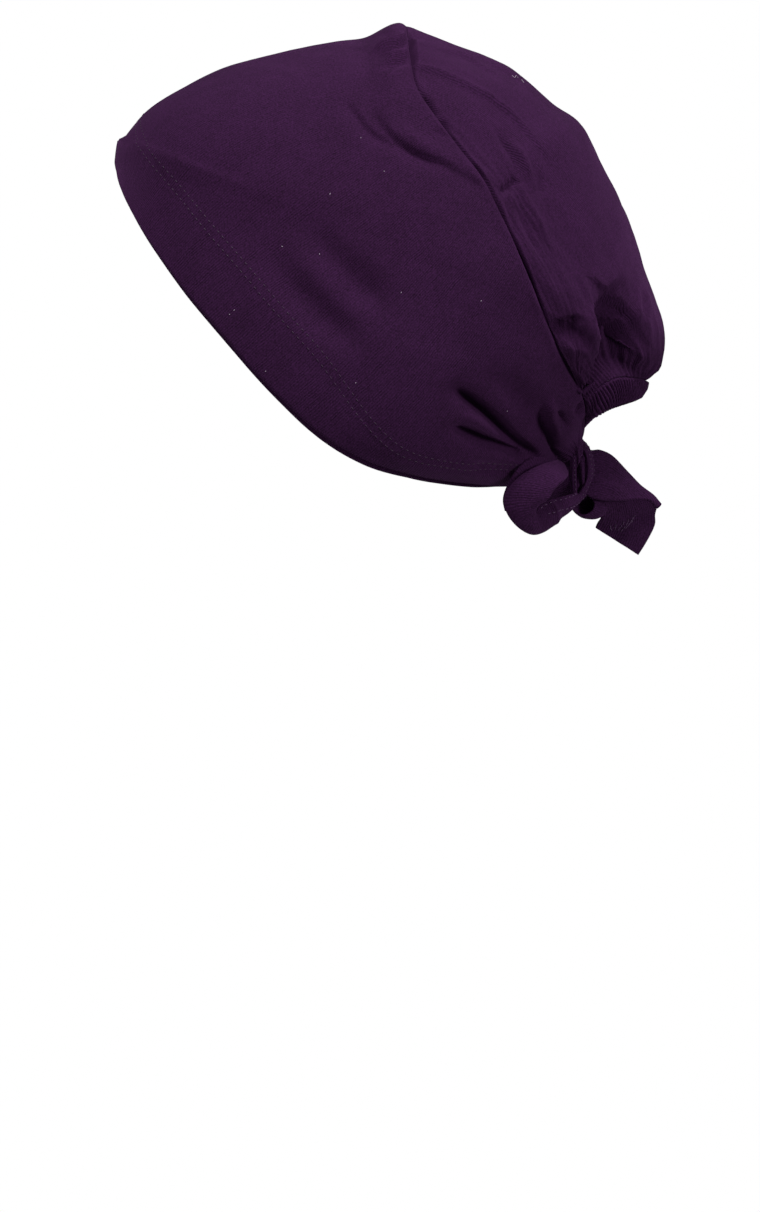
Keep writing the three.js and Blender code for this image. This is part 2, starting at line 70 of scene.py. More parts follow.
LIP_RUN = 1.1  # mm over which a lip drops
FOLD_ENDS = 0.4  # share of its line over which a fold rises, and over which it falls
FOLD_STRENGTH = 1.45  # a fold's height on the cloth over its height in the tables
FOLD_FADE = (0.05, 0.3)  # shares of the half width between which the folds begin
OTHER_SIDE = np.array([2.5, -4.0])  # mm by which the right side's folds lie elsewhere than the left's
OTHER_STRENGTH = 0.8  # height of the right side's folds over the left's
POUCH_FADE = 0.8  # share of its folds' height that the pouch keeps at the seam
SEAM_FADE = (0.0, 3.0)  # mm from the seam between which a panel's folds reach their full height

# Sections of the front panel from the brow round to the nape: hem x, y, z, then seam x, y, z.
# Shares: x of the half width, z of the drop, y of the front reach ahead and the back reach behind.
SECTIONS = np.array([
    [0, -1, -0.274, 0, 0.179, 0.037],
    [0.26, -0.979, -0.319, 0.285, 0.188, 0.004],
    [0.494, -0.928, -0.384, 0.52, 0.195, -0.054],
    [0.662, -0.839, -0.463, 0.662, 0.214, -0.117],
    [0.779, -0.72, -0.551, 0.753, 0.262, -0.175],
    [0.864, -0.572, -0.645, 0.831, 0.329, -0.24],
    [0.916, -0.373, -0.766, 0.883, 0.415, -0.321],
    [0.922, -0.144, -0.881, 0.909, 0.489, -0.422],
    [0.89, 0.038, -0.944, 0.896, 0.546, -0.512],
    [0.818, 0.173, -0.975, 0.844, 0.601, -0.609],
    [0.688, 0.307, -0.993, 0.753, 0.649, -0.688],
    [0.532, 0.435, -1, 0.623, 0.696, -0.751],
    [0.35, 0.55, -1.002, 0.46, 0.744, -0.809],
    [0.2, 0.639, -0.998, 0.27, 0.744, -0.858],
])

# Where the front panel meets the knot: hem y, z and seam y, z, in shares of its depth and height
KNOT_END = np.array([[-0.33, -0.19], [0.03, 0.33]])

# The side outline on the mid-plane, y and z, brow to crown to pouch and back under the head
OUTLINE = np.array([
    [-1, -0.274], [-0.953, -0.211], [-0.826, -0.139], [-0.572, -0.067], [-0.318, -0.027],
    [-0.064, 0.002], [0.048, 0.012], [0.141, 0.043], [0.2, 0.034], [0.335, -0.004],
    [0.431, -0.029], [0.527, -0.063], [0.652, -0.139], [0.75, -0.193], [0.828, -0.301],
    [0.899, -0.409], [0.948, -0.517], [1, -0.625], [1.007, -0.679], [0.99, -0.733],
    [0.942, -0.77], [0.703, -0.998], [0.201, -1.222], [-1.047, -0.762],
])

# Edges of the elastic casing from the middle of the back outward: top x, y, z, then low x, y, z
CASING = np.array([
    [0, 0.946, -0.76, 0, 0.918, -0.798],
    [0.21, 0.917, -0.758, 0.19, 0.893, -0.807],
    [0.37, 0.843, -0.76, 0.33, 0.83, -0.823],
    [0.43, 0.79, -0.782, 0.36, 0.782, -0.844],
])

# Edges of each strip of the ties and the knot, in millimetres from the knot's centre:
# outer x, y, z, then inner x, y, z, from one end of the strip to the other.
LEFT_FACE = np.array([
    [16, -11.2, 4, 21, -6.4, -0.4],
    [26, -15.2, 2.8, 32, -6.4, -2.4],
    [34, -20.4, 1, 38, -8, -4.4],
    [37, -25.6, -2.2, 40, -10, -6],
    [39, -29.2, -6.4, 41, -12, -8.4],
    [39, -31.4, -11.2, 41, -13.6, -10.8],
    [39, -30.4, -16.8, 40, -16.4, -12],
    [37, -26.4, -22, 38, -18.8, -14],
    [34, -20.8, -25.2, 35, -19.4, -17.2],
    [30, -15.8, -24.4, 31, -17.4, -13.8],
    [25, -10.4, -20.6, 26, -12.8, -11.6],
    [19, -5.8, -16.6, 20, -7.6, -10.4],
    [12, -1.6, -12.4, 13, -3.2, -9.2],
])
LEFT_RIM = np.array([
    [15, -6.4, 0.6, 12, -6.6, -2],
    [22, -10.2, 3.4, 18, -9.6, 0.4],
    [29, -15.2, 5, 26, -14.4, 1.4],
    [33, -20.4, 5, 30, -19, 0.4],
    [35, -25.2, 1.8, 32, -23, -2],
    [36, -28.6, -3, 33, -26, -5.5],
    [36, -31, -8, 33, -28, -9.4],
    [35, -31.8, -12, 32, -28.8, -12.8],
    [34, -31, -16, 31, -28.2, -16],
])
LEFT_WALL = np.array([
    [20, -6.6, -0.4, 8, -7.5, 2],
    [31, -6.8, -2.2, 8, -8.5, 0],
    [37, -8.6, -4, 6, -10, -2.5],
    [39, -10.8, -5.8, 5, -12.5, -4.5],
    [40, -12.8, -8.2, 5, -15, -7.5],
    [40, -14.4, -10.8, 6, -16.5, -11],
])
LEFT_ROOT = np.array([
    [10, -2, 4, 2, -2, -14.4],
    [10, -6, 2.4, 0, -5.2, -15.2],
    [10, -10, 0, -1, -9.2, -15.6],
    [11, -13.6, -1.2, 0, -13.2, -16],
    [14, -18.4, -2.4, 3, -19.2, -17.6],
])
RIGHT_FACE = np.array([
    [3, -0.4, 11.2, 7, -1.6, -8],
    [1, 3.6, 8.8, 8, 2, -9.6],
    [-1, 7.6, 8.8, 7, 6.4, -11.2],
    [-4, 12.4, 6.4, 5, 11.6, -11.6],
    [-7, 17.6, 1.2, 2, 17.2, -11.6],
    [-9.5, 22.8, -4.4, -1.5, 22.8, -11],
    [-11, 27.6, -9.2, -5, 27.6, -11.6],
    [-12, 31.2, -13.2, -9, 30.4, -14.4],
])
RIGHT_END = np.array([
    [5.4, 6, -9.4, -6.4, 28.8, -10.6],
    [2, 7.6, -12.2, -9.5, 30.6, -13.8],
    [-2, 8.4, -15.6, -12, 30.2, -17.2],
    [-5, 8, -18.4, -13.5, 30, -21.2],
    [-7, 6.8, -20.4, -14, 26.8, -27.6],
    [-8, 6, -22, -14, 23.4, -33.2],
])
KNOT_STRAP = np.array([
    [5, -2.8, 14.4, 8, -2.8, 11.2],
    [4, 0, 12.8, 9, -0.8, 10],
    [4, 2.8, 9.6, 10, 0.8, 7.6],
    [4, 4.2, 5.2, 10, 2, 4.4],
    [4, 4.6, 0.8, 10, 2.4, 0.8],
    [4, 4, -3.6, 10, 1.8, -2.8],
    [5, 2.4, -7.6, 11, 0.2, -6.4],
    [8, -0.4, -11.2, 12, -1.8, -9.2],
    [12, -3.2, -13.2, 14, -4, -10.8],
])
KNOT_STRAND = np.array([
    [7.5, 0.8, 10.4, 8.5, -1.6, 10.4],
    [8, 1.6, 6.4, 9, -0.6, 6],
    [8, 1.2, 2.4, 9, -1, 2.4],
    [8, 0.4, -1.6, 9, -1.8, -1.2],
    [8, -0.8, -5.6, 9, -2.6, -4.8],
    [8, -1.6, -8.8, 9, -3.2, -7.6],
])
SIDE_STRAP = np.array([
    [13, -2, 17, 12, -6.5, 17],
    [13.5, -2, 10.8, 13, -6, 10.8],
    [13.5, -2.2, 4.8, 13, -5.4, 4.8],
    [13.5, -2.2, -1.2, 13, -5, -1.2],
    [13.5, -2, -7.2, 13, -4.6, -7.2],
    [13, -1.8, -12.6, 12.5, -3.4, -12.8],
])

# Sections of the small curl from its open mouth into the knot: centre x, y, z, then half size y, z
CURL = np.array([
    [6, 0.6, -13.2, 4.7, 4],
    [4.5, 1.6, -13.5, 5, 4.5],
    [2, 3.4, -13.9, 5.1, 4.8],
    [-1, 5.6, -13.8, 4.6, 4.4],
    [-4, 7, -13, 3, 3],
    [-6, 7.4, -12.6, 2, 2],
])


class FoldKind(Enum):
    """How the cloth stands beside a fold's line."""

    BELL = "a soft groove or ridge"
    CREASE = "a sharp groove or ridge"
    LIP = "a drop on the left of the line that fades out away from it"


@dataclass(frozen=True)
class Fold:
    """A fold along a line, in millimetres: of the side view, or of a ribbon laid flat.

    height is outward above 0, width is how far the fold reaches, and start and end are the shares
    of the height that it has at the two ends of its line.
    """

    name: str
    kind: FoldKind
    height: float
    width: float
    points: tuple[tuple[float, float], ...]
    start: float = 0.0
    end: float = 0.0


BELL, CREASE, LIP = FoldKind

# Folds of the front panel and of the pouch, along lines of the side view
PANEL_FOLDS = (
    Fold("crown crease", LIP, -1.8, 5.5, ((48, -58.4), (37.2, -51.8), (28.8, -48.8), (21.2, -44),
         (13.6, -36.4), (7.2, -24.4)), 0.4, 0),
    Fold("ridge over the crown crease", BELL, 0.9, 2.4, ((42, -51.6), (31, -46.4), (23.6, -41.2),
         (16.4, -33.6)), 0.2, 0),
    Fold("upper crown crease", LIP, -1.3, 4, ((24, -47), (10.8, -40.8), (3.6, -32.4), (-2.4, -24.4))),
    Fold("seam pucker", CREASE, -1.4, 1.3, ((32.8, -38.4), (37, -40.6), (42, -42.4)), 0, 0.9),
    Fold("apex ridge", BELL, 1.6, 1.3, ((22.4, 0.2), (14.8, -3.2), (7.6, -6.8)), 0.9, 0),
    Fold("apex groove", BELL, -1.6, 1.4, ((22.6, -3.4), (16, -6), (9.6, -10.4)), 0.9, 0),
    Fold("low apex ridge", BELL, 1.3, 1.2, ((23.4, -7.2), (18, -7.6), (12.4, -9.6)), 0.9, 0),
    Fold("low apex groove", BELL, -1.3, 1.4, ((24, -11), (18, -12), (12, -15)), 0.8, 0),
    Fold("high apex groove", BELL, -1.2, 1.3, ((21.6, 4.4), (16, 2.4), (10.8, 0.8)), 0.8, 0),
    Fold("front valley", BELL, -2.2, 7, ((-43.2, -73.6), (-20, -103.2), (-6, -117), (8, -131.2))),
    Fold("rear valley", BELL, -2, 7, ((-24, -70), (0, -97), (20.8, -115.2))),
    Fold("long knot hollow", BELL, -2.3, 5.5, ((44.8, -130), (58.8, -137.2), (66.4, -142.8),
         (73.6, -151.6), (79.6, -160), (86.4, -170.6)), 0, 1),
    Fold("knot hollow's edge", CREASE, -2.4, 1.7, ((76.4, -147), (77.6, -155), (81.2, -162.4),
         (86, -169.6)), 0.2, 1),
    Fold("deep knot crease", BELL, -5.2, 1.7, ((38.4, -138.8), (44.8, -143), (53.2, -149.2),
         (59.2, -154.4), (65.2, -160.2), (73.2, -166.6)), 0, 0.5),
    Fold("deep knot crease's bed", BELL, -1.9, 4.6, ((36, -137), (53.2, -149.6), (72, -165.6)), 0, 0.7),
    Fold("ridge under the deep crease", BELL, 1, 2.4, ((44, -149.6), (54, -155.6), (62.8, -162.4))),
    Fold("low knot crease", BELL, -3.8, 1.5, ((38.4, -154.8), (44.8, -157.2), (53.2, -160.8),
         (59.2, -163), (68, -166.8)), 0, 0.8),
    Fold("low knot crease's bed", BELL, -1, 3.6, ((36, -154.4), (53.2, -161.2), (68, -167)), 0, 0.8),
    Fold("rolled edge before the knot", BELL, -1.4, 2.4, ((46, -169.8), (56, -171.6), (68, -172.8)), 0,
         1),
    Fold("strap crease", CREASE, -1.8, 1.3, ((83, -147.6), (84, -151), (86.8, -155.4)), 0.2, 0),
    Fold("strap ridge", BELL, 1.5, 2, ((79.6, -143), (80.4, -152), (85, -162))),
    Fold("lip at the seam's end", BELL, 1.5, 1.4, ((92.4, -142), (94.4, -145.2), (93.2, -149.6)), 0.6,
         0.6),
    Fold("notch at the seam's end", CREASE, -2.2, 1.2, ((88.4, -150), (91, -148.4), (92, -144.4)), 0,
         0.6),
)

POUCH_FOLDS = (
    Fold("long ridge", LIP, -0.8, 6, ((82.8, -58), (79.2, -51.2), (75.2, -44.8), (69.2, -37.2),
         (62.4, -30.4), (54.8, -24.4), (46, -20.4), (37.2, -15.6), (26.4, -12)), 0, 0.8),
    Fold("long ridge's crest", BELL, 0.5, 0.9, ((26.4, -11.4), (37.2, -15), (54.8, -23.8), (69.2, -36.6),
         (79.8, -50.8)), 0.8, 0),
    Fold("crown ridge", LIP, -0.8, 5, ((64, -18), (54.8, -11.6), (46, -6), (31.2, -3.2)), 0.2, 0.4),
    Fold("crown ridge's crest", BELL, 0.4, 0.9, ((31.2, -2.8), (46, -5.6), (54.8, -11.2), (63, -17.2))),
    Fold("top fold", LIP, -1.2, 4, ((67.6, -15), (60, -10.4), (52, -6), (43, -1.6)), 0.9, 0),
    Fold("seam notch", BELL, -4.2, 1.1, ((24.4, 1), (24.8, -4), (25.4, -9.6)), 0.6, 0.7),
    Fold("second seam notch", BELL, -3.6, 1.3, ((28.4, -22.4), (31, -27.2), (33.6, -31.2)), 0.4, 0.6),
    Fold("third seam notch", BELL, -3, 1.2, ((35.2, -33.2), (37.2, -36.8), (39, -40.4)), 0.4, 0.6),
    Fold("hollow beside the notches", BELL, -0.9, 3.4, ((27, -13), (32, -24), (42, -40)), 0.4, 0.4),
    Fold("apex crease", CREASE, -1.6, 1, ((24.8, 4.8), (26.8, 2), (29.2, -1)), 0.8, 0),
    Fold("side crease", CREASE, -1.9, 1.4, ((55.6, -36), (59.6, -41.6), (62.8, -46.4), (65.4, -53.6),
         (65.4, -58.4)), 0, 0.9),
    Fold("side crease's ridge", BELL, 1.1, 1.5, ((60.4, -39.6), (68.4, -50), (70, -60.4))),
    Fold("low wrinkle", BELL, -1.5, 1.5, ((57.6, -64), (62, -62), (65.2, -59.2)), 0, 0.8),
    Fold("rear wrinkle", BELL, -0.9, 1.6, ((73, -66), (75.6, -60), (76, -54))),
    Fold("middle wrinkle", BELL, -1.2, 2, ((66, -64), (68, -73), (72, -83), (78, -92))),
    Fold("middle ridge", BELL, 1, 2, ((70, -64), (73, -73), (79, -82))),
    Fold("front wrinkle", BELL, -1, 1.8, ((60, -67), (64, -76), (68, -84))),
    Fold("side dent", LIP, -1.9, 6.5, ((93.6, -112.8), (88, -111.8), (82, -113.4), (77, -116)), 0.1, 0.8),
    Fold("crease in the dent", BELL, -1.4, 2.2, ((78, -116.6), (86, -117.6), (94, -121)), 0.4, 0.4),
    Fold("ridge under the dent", BELL, 1.2, 2.4, ((80.4, -121.6), (88, -124.8), (97, -126.4)), 0.1, 0.7),
    Fold("lobe edge", LIP, -8, 9.5, ((108, -93), (104.6, -98.4), (98.8, -107.6), (97.4, -111.6),
         (98.4, -115.2), (101, -121), (100.6, -126), (97.4, -133), (94.6, -137.4)), 0, 0.5),
    Fold("lobe", BELL, 1.4, 3.6, ((96, -106), (95, -113), (98, -122), (96, -130))),
    Fold("recess", BELL, -7.5, 7.5, ((106, -112), (108, -121), (105.6, -129)), 0.5, 0.6),
    Fold("edge over the recess", LIP, -3.2, 8, ((117, -116), (112, -106.4), (104, -101.6)), 0.3, 0.6),
    Fold("recess crease", CREASE, -2, 1.3, ((107.6, -118.6), (109, -124), (108.4, -128.4)), 0, 0.2),
    Fold("recess ridge", BELL, 2, 1.5, ((106.6, -121.6), (105.8, -128.4), (103, -133.4)), 0, 0.5),
    Fold("low recess crease", CREASE, -1.8, 1.4, ((102.6, -123), (103.2, -129.6), (100.6, -134)), 0, 0.6),
    Fold("rear gather", BELL, 0.6, 1, ((113.6, -97), (115.2, -105), (115.6, -114))),
    Fold("second rear gather", BELL, 0.5, 0.9, ((117.6, -98), (119, -106), (119.2, -114))),
    Fold("third rear gather", BELL, -0.6, 1.1, ((115.6, -97), (117.2, -105), (117.4, -115))),
)

# Folds of the near tie's face, of the rear tie's face and of its end, along lines of each strip laid flat
LEFT_FACE_FOLDS = (
    Fold("outer edge's roll", BELL, -1.6, 1.5, ((0, 0), (24, 0), (44, 0)), 1, 0),
    Fold("nose's roll", BELL, -1.5, 2, ((0, 0), (0, 7)), 1, 1),
    Fold("fold to the stitched end", CREASE, 1.3, 1.6, ((58, 0), (57, 8)), 1, 1),
    Fold("hollow beside that fold", BELL, -1, 2.6, ((63, 0), (61, 9)), 1, 1),
)
RIGHT_FACE_FOLDS = (
    Fold("long wave", BELL, -0.8, 3, ((1, 10), (12, 10), (24, 8)), 0.9, 0),
    Fold("low wave", BELL, 0.7, 2.2, ((2, 14), (14, 15), (26, 11)), 0.4, 0),
)
RIGHT_END_FOLDS = (
    Fold("crease under the turn", BELL, -1.2, 3, ((8, 6), (12, 14), (9, 24)), 0.2, 0.2),
    Fold("wave to the end", BELL, 0.6, 3, ((10, 18), (16, 15), (22, 13)), 0, 0.8),
)

# The overlock's zigzag on the rear tie's end: each stroke's start and end, along and across the strip
OVERLOCK = (
    (0.72, 0.22, 0.86, 0.30), (0.66, 0.30, 0.84, 0.34), (0.60, 0.42, 0.82, 0.38), (0.54, 0.50, 0.78, 0.46),
    (0.50, 0.58, 0.72, 0.50), (0.42, 0.62, 0.62, 0.56),
)

# Lint and thread ends on the near side: y, z of the side view and length, in millimetres
LINT = np.array([
    [-7.2, -64.4, 0.9], [-12, -88, 0.7], [-26, -84.8, 0.6], [-44, -109.6, 0.7], [-46, -111.2, 0.6],
    [13.6, -56, 0.6], [20.8, -103.6, 0.6], [51.2, -106.8, 0.6], [2.8, -138.8, 0.6], [-32, -134.4, 0.6],
    [4.4, -42.4, 0.5], [62, -148.8, 0.5],
])

# The loose thread's end on the pouch's top fold: y, z of the side view, in millimetres
THREAD_END = np.array([
    [64.6, -14.6], [65.6, -15.4], [66.4, -14.2], [67, -15.6], [68.2, -16], [69.4, -17.4],
])


def smoothstep(value: Array, low: float, high: float) -> Array:
    """An even rise from 0 at low to 1 at high.

    Args:
        value: Where it is read.
        low: Where the rise starts.
        high: Where it ends.

    Returns:
        Three times the square less twice the cube of the way from low to high.
    """
    way = np.clip((np.asarray(value) - low) / (high - low), 0.0, 1.0)
    return way * way * (3.0 - 2.0 * way)


def bell(distance: Array, width: float) -> Array:
    """The exponential of minus the square of a distance over a width."""
    return np.exp(-((distance / width) ** 2))


def curve_through(points: Array, share: Array, closed: bool = False) -> Array:
    """A smooth curve through points.

    Each span is the cubic between two points whose slope at each end is half the chord between
    that point's two neighbours. Past an open end, the neighbour is the next point's mirror image.

    Args:
        points: The points, one a row.
        share: Where the curve is read, 0 to 1, in equal parts from point to point.
        closed: Whether the last point joins the first.

    Returns:
        The curve's points, with the last axis as in points.
    """
    points = np.asarray(points, dtype=float)
    if closed:
        padded = np.vstack([points[-1:], points, points[:2]])
        spans = len(points)
    else:
        padded = np.vstack([2 * points[:1] - points[1:2], points, 2 * points[-1:] - points[-2:-1]])
        spans = len(points) - 1
    place = np.clip(share, 0.0, 1.0) * spans
    span = np.minimum(place.astype(int), spans - 1)
    t = (place - span)[..., None]
    before, start, end, after = (padded[span + step] for step in range(4))
    slope_start, slope_end = (end - before) / 2, (after - start) / 2
    return (
        (2 * t**3 - 3 * t**2 + 1) * start
        + (t**3 - 2 * t**2 + t) * slope_start
        + (3 * t**2 - 2 * t**3) * end
        + (t**3 - t**2) * slope_end
    )


def both_sides(points: Array) -> Array:
    """The points of the left side with their mirror images before them, from right to left."""
    return np.vstack([points[:0:-1] * (-1, 1, 1), points])


def unit(vectors: Array) -> Array:
    """The vectors at length 1."""
    return vectors / np.maximum(np.linalg.norm(vectors, axis=-1, keepdims=True), 1e-9)


def grid_normals(grid: Array, looped: bool = False) -> Array:
    """Outward directions of a grid: its step along the columns crossed with its step along the rows.

    Args:
        grid: Points, column by row.
        looped: Whether the last column joins the first.

    Returns:
        A direction of length 1 for each point.
    """
    if looped:
        along = np.roll(grid, -1, axis=0) - np.roll(grid, 1, axis=0)
    else:
        along = np.gradient(grid, axis=0)
    return unit(np.cross(along, np.gradient(grid, axis=1)))


def soft_noise(u: Array, v: Array, seed: int) -> Array:
    """Smooth noise between -1 and 1: random heights on whole numbers, eased from one to the next.

    Args:
        u: First place, in grains.
        v: Second place, in grains.
        seed: Which heights.

    Returns:
        The noise at each place.
    """
    size = 64  # whole numbers after which the heights come again
    heights = np.random.default_rng(seed).uniform(-1.0, 1.0, (size, size))
    iu, iv = np.floor(u).astype(int), np.floor(v).astype(int)
    fu, fv = u - iu, v - iv
    fu, fv = fu * fu * (3 - 2 * fu), fv * fv * (3 - 2 * fv)
    here, there = iu % size, (iu + 1) % size
    near = heights[here, iv % size] * (1 - fu) + heights[there, iv % size] * fu
    far = heights[here, (iv + 1) % size] * (1 - fu) + heights[there, (iv + 1) % size] * fu
    return near * (1 - fv) + far * fv


def fold_heights(places: Array, folds: tuple[Fold, ...]) -> Array:
    """How far folds move the cloth outward.

    Each fold's height at its line is its height column times a strength, which rises from its
    start share to 1 in the middle of the line and falls to its end share. Away from the line a
    bell falls as the exponential of minus the squared distance over the width, a crease as that
    of minus the distance over the width, and a lip is a bell on one side only, reached by a
    steep drop.

    Args:
        places: Places in the fold's own plane, in millimetres, on the last axis.
        folds: The folds.

    Returns:
        The sum of the folds' heights at each place, in millimetres.
    """
    steps_a_point = 6
    flat = places.reshape(-1, 2)
    rows = np.arange(len(flat))
    total = np.zeros(len(flat))
    for fold in folds:
        shares = np.linspace(0.0, 1.0, steps_a_point * len(fold.points))
        line = curve_through(np.array(fold.points), shares)
        start, step = line[:-1], np.diff(line, axis=0)
        arm = flat[:, None] - start
        along = np.clip((arm * step).sum(-1) / (step**2).sum(-1), 0.0, 1.0)
        away = arm - along[..., None] * step
        distances = np.linalg.norm(away, axis=-1)
        nearest = distances.argmin(axis=1)
        distance = distances[rows, nearest]
        way = (nearest + along[rows, nearest]) / len(step)
        rise = fold.start + (1 - fold.start) * smoothstep(way, 0.0, FOLD_ENDS)
        fall = fold.end + (1 - fold.end) * smoothstep(1 - way, 0.0, FOLD_ENDS)
        shape = np.exp(-(distance / fold.width) ** (1 if fold.kind is FoldKind.CREASE else 2))
        if fold.kind is FoldKind.LIP:
            ahead, reached = step[nearest], arm[rows, nearest]
            side = ahead[:, 0] * reached[:, 1] - ahead[:, 1] * reached[:, 0]
            signed = np.where(side > 0, distance, -distance)
            shape = shape * smoothstep(signed, -LIP_RUN / 2, LIP_RUN)
        total += fold.height * np.minimum(rise, fall) * shape
    return total.reshape(places.shape[:-1])


def length_along(grid: Array, axis: int) -> Array:
    """Distance from the first point of each line of a grid, added up step by step.

    Args:
        grid: Points, column by row.
        axis: 0 for lines along the columns, 1 for lines along the rows.

    Returns:
        The distance at each point.
    """
    steps = np.linalg.norm(np.diff(grid, axis=axis), axis=-1)
    zero = np.zeros_like(np.take(steps, [0], axis=axis))
    return np.cumsum(np.concatenate([zero, steps], axis=axis), axis=axis)


def cloth_map(grid: Array, row: int) -> Array:
    """Millimetres of cloth at each point of a grid: along one of its rows, and across from its first row.

    Args:
        grid: Points, column by row.
        row: The row that is measured along.

    Returns:
        The two distances on the last axis.
    """
    across = length_along(grid, 1)
    along = length_along(grid, 0)[:, row, None]
    return np.stack([along + 0 * across, across], axis=-1)


def quads(columns: int, rows: int, first: int, looped: bool = False, turned: bool = False) -> Array:
    """The four corners of each face of a grid of points.

    Args:
        columns: Columns of the grid.
        rows: Rows of the grid, numbered fastest.
        first: Number of the grid's first point.
        looped: Whether the last column joins the first.
        turned: Whether the faces look the other way.

    Returns:
        Point numbers, four a face.
    """
    number = first + np.arange(columns * rows).reshape(columns, rows)
    if looped:
        number = np.vstack([number, number[:1]])
    here, there = number[:-1], number[1:]
    corners = [here[:, :-1], there[:, :-1], there[:, 1:], here[:, 1:]]
    faces = np.stack(corners, axis=-1).reshape(-1, 4)
    return faces[:, ::-1] if turned else faces


def make_mesh(name: str, points: Array, faces: list[Array], uv: Array | None = None) -> bpy.types.Object:
    """Puts points in millimetres and their faces into a mesh in metres.

    Args:
        name: The object's name.
        points: The points, one a row.
        faces: Arrays of point numbers, each with one size of face.
        uv: A pattern place for each point, in millimetres of cloth.

    Returns:
        The object, smooth shaded and in the scene.
    """
    mesh = bpy.data.meshes.new(name)
    corners = np.concatenate([block.ravel() for block in faces]).astype(np.int32)
    sizes = np.concatenate([np.full(len(block), block.shape[1]) for block in faces])
    starts = np.concatenate([[0], np.cumsum(sizes)[:-1]]).astype(np.int32)
    mesh.vertices.add(len(points))
    mesh.vertices.foreach_set("co", (points * MM).astype(np.float32).ravel())
    mesh.loops.add(len(corners))
    mesh.loops.foreach_set("vertex_index", corners)
    mesh.polygons.add(len(sizes))
    mesh.polygons.foreach_set("loop_start", starts)
    mesh.polygons.foreach_set("use_smooth", np.ones(len(sizes), dtype=bool))
    if uv is not None:
        layer = mesh.uv_layers.new(name=KNIT_MAP)
        layer.uv.foreach_set("vector", uv[corners].astype(np.float32).ravel())
    mesh.update(calc_edges=True)
    mesh.validate()
    piece = bpy.data.objects.new(name, mesh)
    bpy.context.scene.collection.objects.link(piece)
    return piece


def closed_cloth(
    name: str, outer: Array, inner: Array, uv: Array, looped: bool = False
) -> bpy.types.Object:
    """A closed wall of cloth between an outer grid and an inner grid of the same size.

    Args:
        name: The object's name.
        outer: Points of the outer side, column by row.
        inner: Points of the inner side.
        uv: Pattern places of the grid, in millimetres of cloth.
        looped: Whether the last column joins the first.

    Returns:
        The object.
    """
    columns, rows = outer.shape[:2]
    size = columns * rows
    number = np.arange(size).reshape(columns, rows)
    faces = [quads(columns, rows, 0, looped), quads(columns, rows, size, looped, turned=True)]

    def rim(line: Array, closed: bool) -> Array:
        """Faces between an edge line of the outer side and the same line of the inner side."""
        here, there = (line, np.roll(line, -1)) if closed else (line[:-1], line[1:])
        return np.stack([there, here, here + size, there + size], axis=-1)

    faces += [rim(number[:, 0], looped), rim(number[::-1, -1], looped)]
    if not looped:
        faces += [rim(number[0, ::-1], False), rim(number[-1], False)]
    points = np.vstack([outer.reshape(-1, 3), inner.reshape(-1, 3)])
    return make_mesh(name, points, faces, np.vstack([uv.reshape(-1, 2)] * 2))


def rounded(distance: Array, thickness: float) -> Array:
    """The share of a wall's thickness that is left near its round edge.

    It is the height of a circle whose radius is half the thickness, over that radius, raised a
    little so that the wall has some thickness at its very edge.

    Args:
        distance: Distances from the edge.
        thickness: The wall's full thickness.

    Returns:
        The share at each distance.
    """
    least = 0.14
    radius = thickness / 2
    inside = np.clip(radius - distance, 0.0, radius)
    return least + (1 - least) * np.sqrt(np.maximum(radius**2 - inside**2, 0.0)) / radius


def tiny_rods(
    name: str, centres: Array, along: Array, up: Array, length: Array, radius: Array
) -> bpy.types.Object:
    """Many short rods with round ends, such as stitches, in one mesh.

    A rod's rings lie on cosines from one end to the other, and their radius is the sine times the
    rod's, so each is a drawn-out ball with flat six-sided ends.

    Args:
        name: The object's name.
        centres: The rods' middles.
        along: Their directions.
        up: Directions across them, away from the cloth.
        length: Their lengths.
        radius: Their radii.

    Returns:
        The object.
    """
    sides, rings, end = 6, 5, 0.12
    rod, each_ring = (slice(None), None, None), (None, slice(None), None, None)
    side = unit(np.cross(up, along))
    turn = (2 * np.pi * np.arange(sides) / sides)[:, None]
    bow = np.linspace(end * np.pi, (1 - end) * np.pi, rings)
    ring = np.cos(turn) * side[rod] + np.sin(turn) * up[rod]
    reach = -np.cos(bow)[each_ring] * (length[:, None] / 2)[rod] * along[rod]
    girth = np.sin(bow)[each_ring] * radius[:, None][rod]
    points = centres[rod] + reach + girth * ring
    first = np.arange(len(centres))[:, None] * sides * rings
    number = np.arange(rings * sides).reshape(rings, sides)
    here, there = number[:-1], number[1:]
    wall = np.stack([here, np.roll(here, -1, 1), np.roll(there, -1, 1), there], axis=-1)
    walls = (first + wall.reshape(-1)).reshape(-1, 4)
    caps = [first + number[0, ::-1], first + number[-1]]
    return make_mesh(name, points.reshape(-1, 3), [walls, *caps])


def evenly(line: Array, normals: Array, pitch: float) -> Places:
    """Places at an even pitch along a line on the cloth.

    Args:
        line: The line's points.
        normals: The cloth's outward direction at each.
        pitch: The distance from place to place.

    Returns:
        The places, the directions along the line and the outward directions.
    """
    run = length_along(line, 0)
    marks = np.arange(pitch / 2, run[-1], pitch)

    def read(values: Array, at: Array) -> Array:
        """The values at distances along the line."""
        return np.stack([np.interp(at, run, values[:, axis]) for axis in range(3)], axis=-1)

    ahead, behind = read(line, marks + pitch / 4), read(line, marks - pitch / 4)
    return read(line, marks), unit(ahead - behind), unit(read(normals, marks))


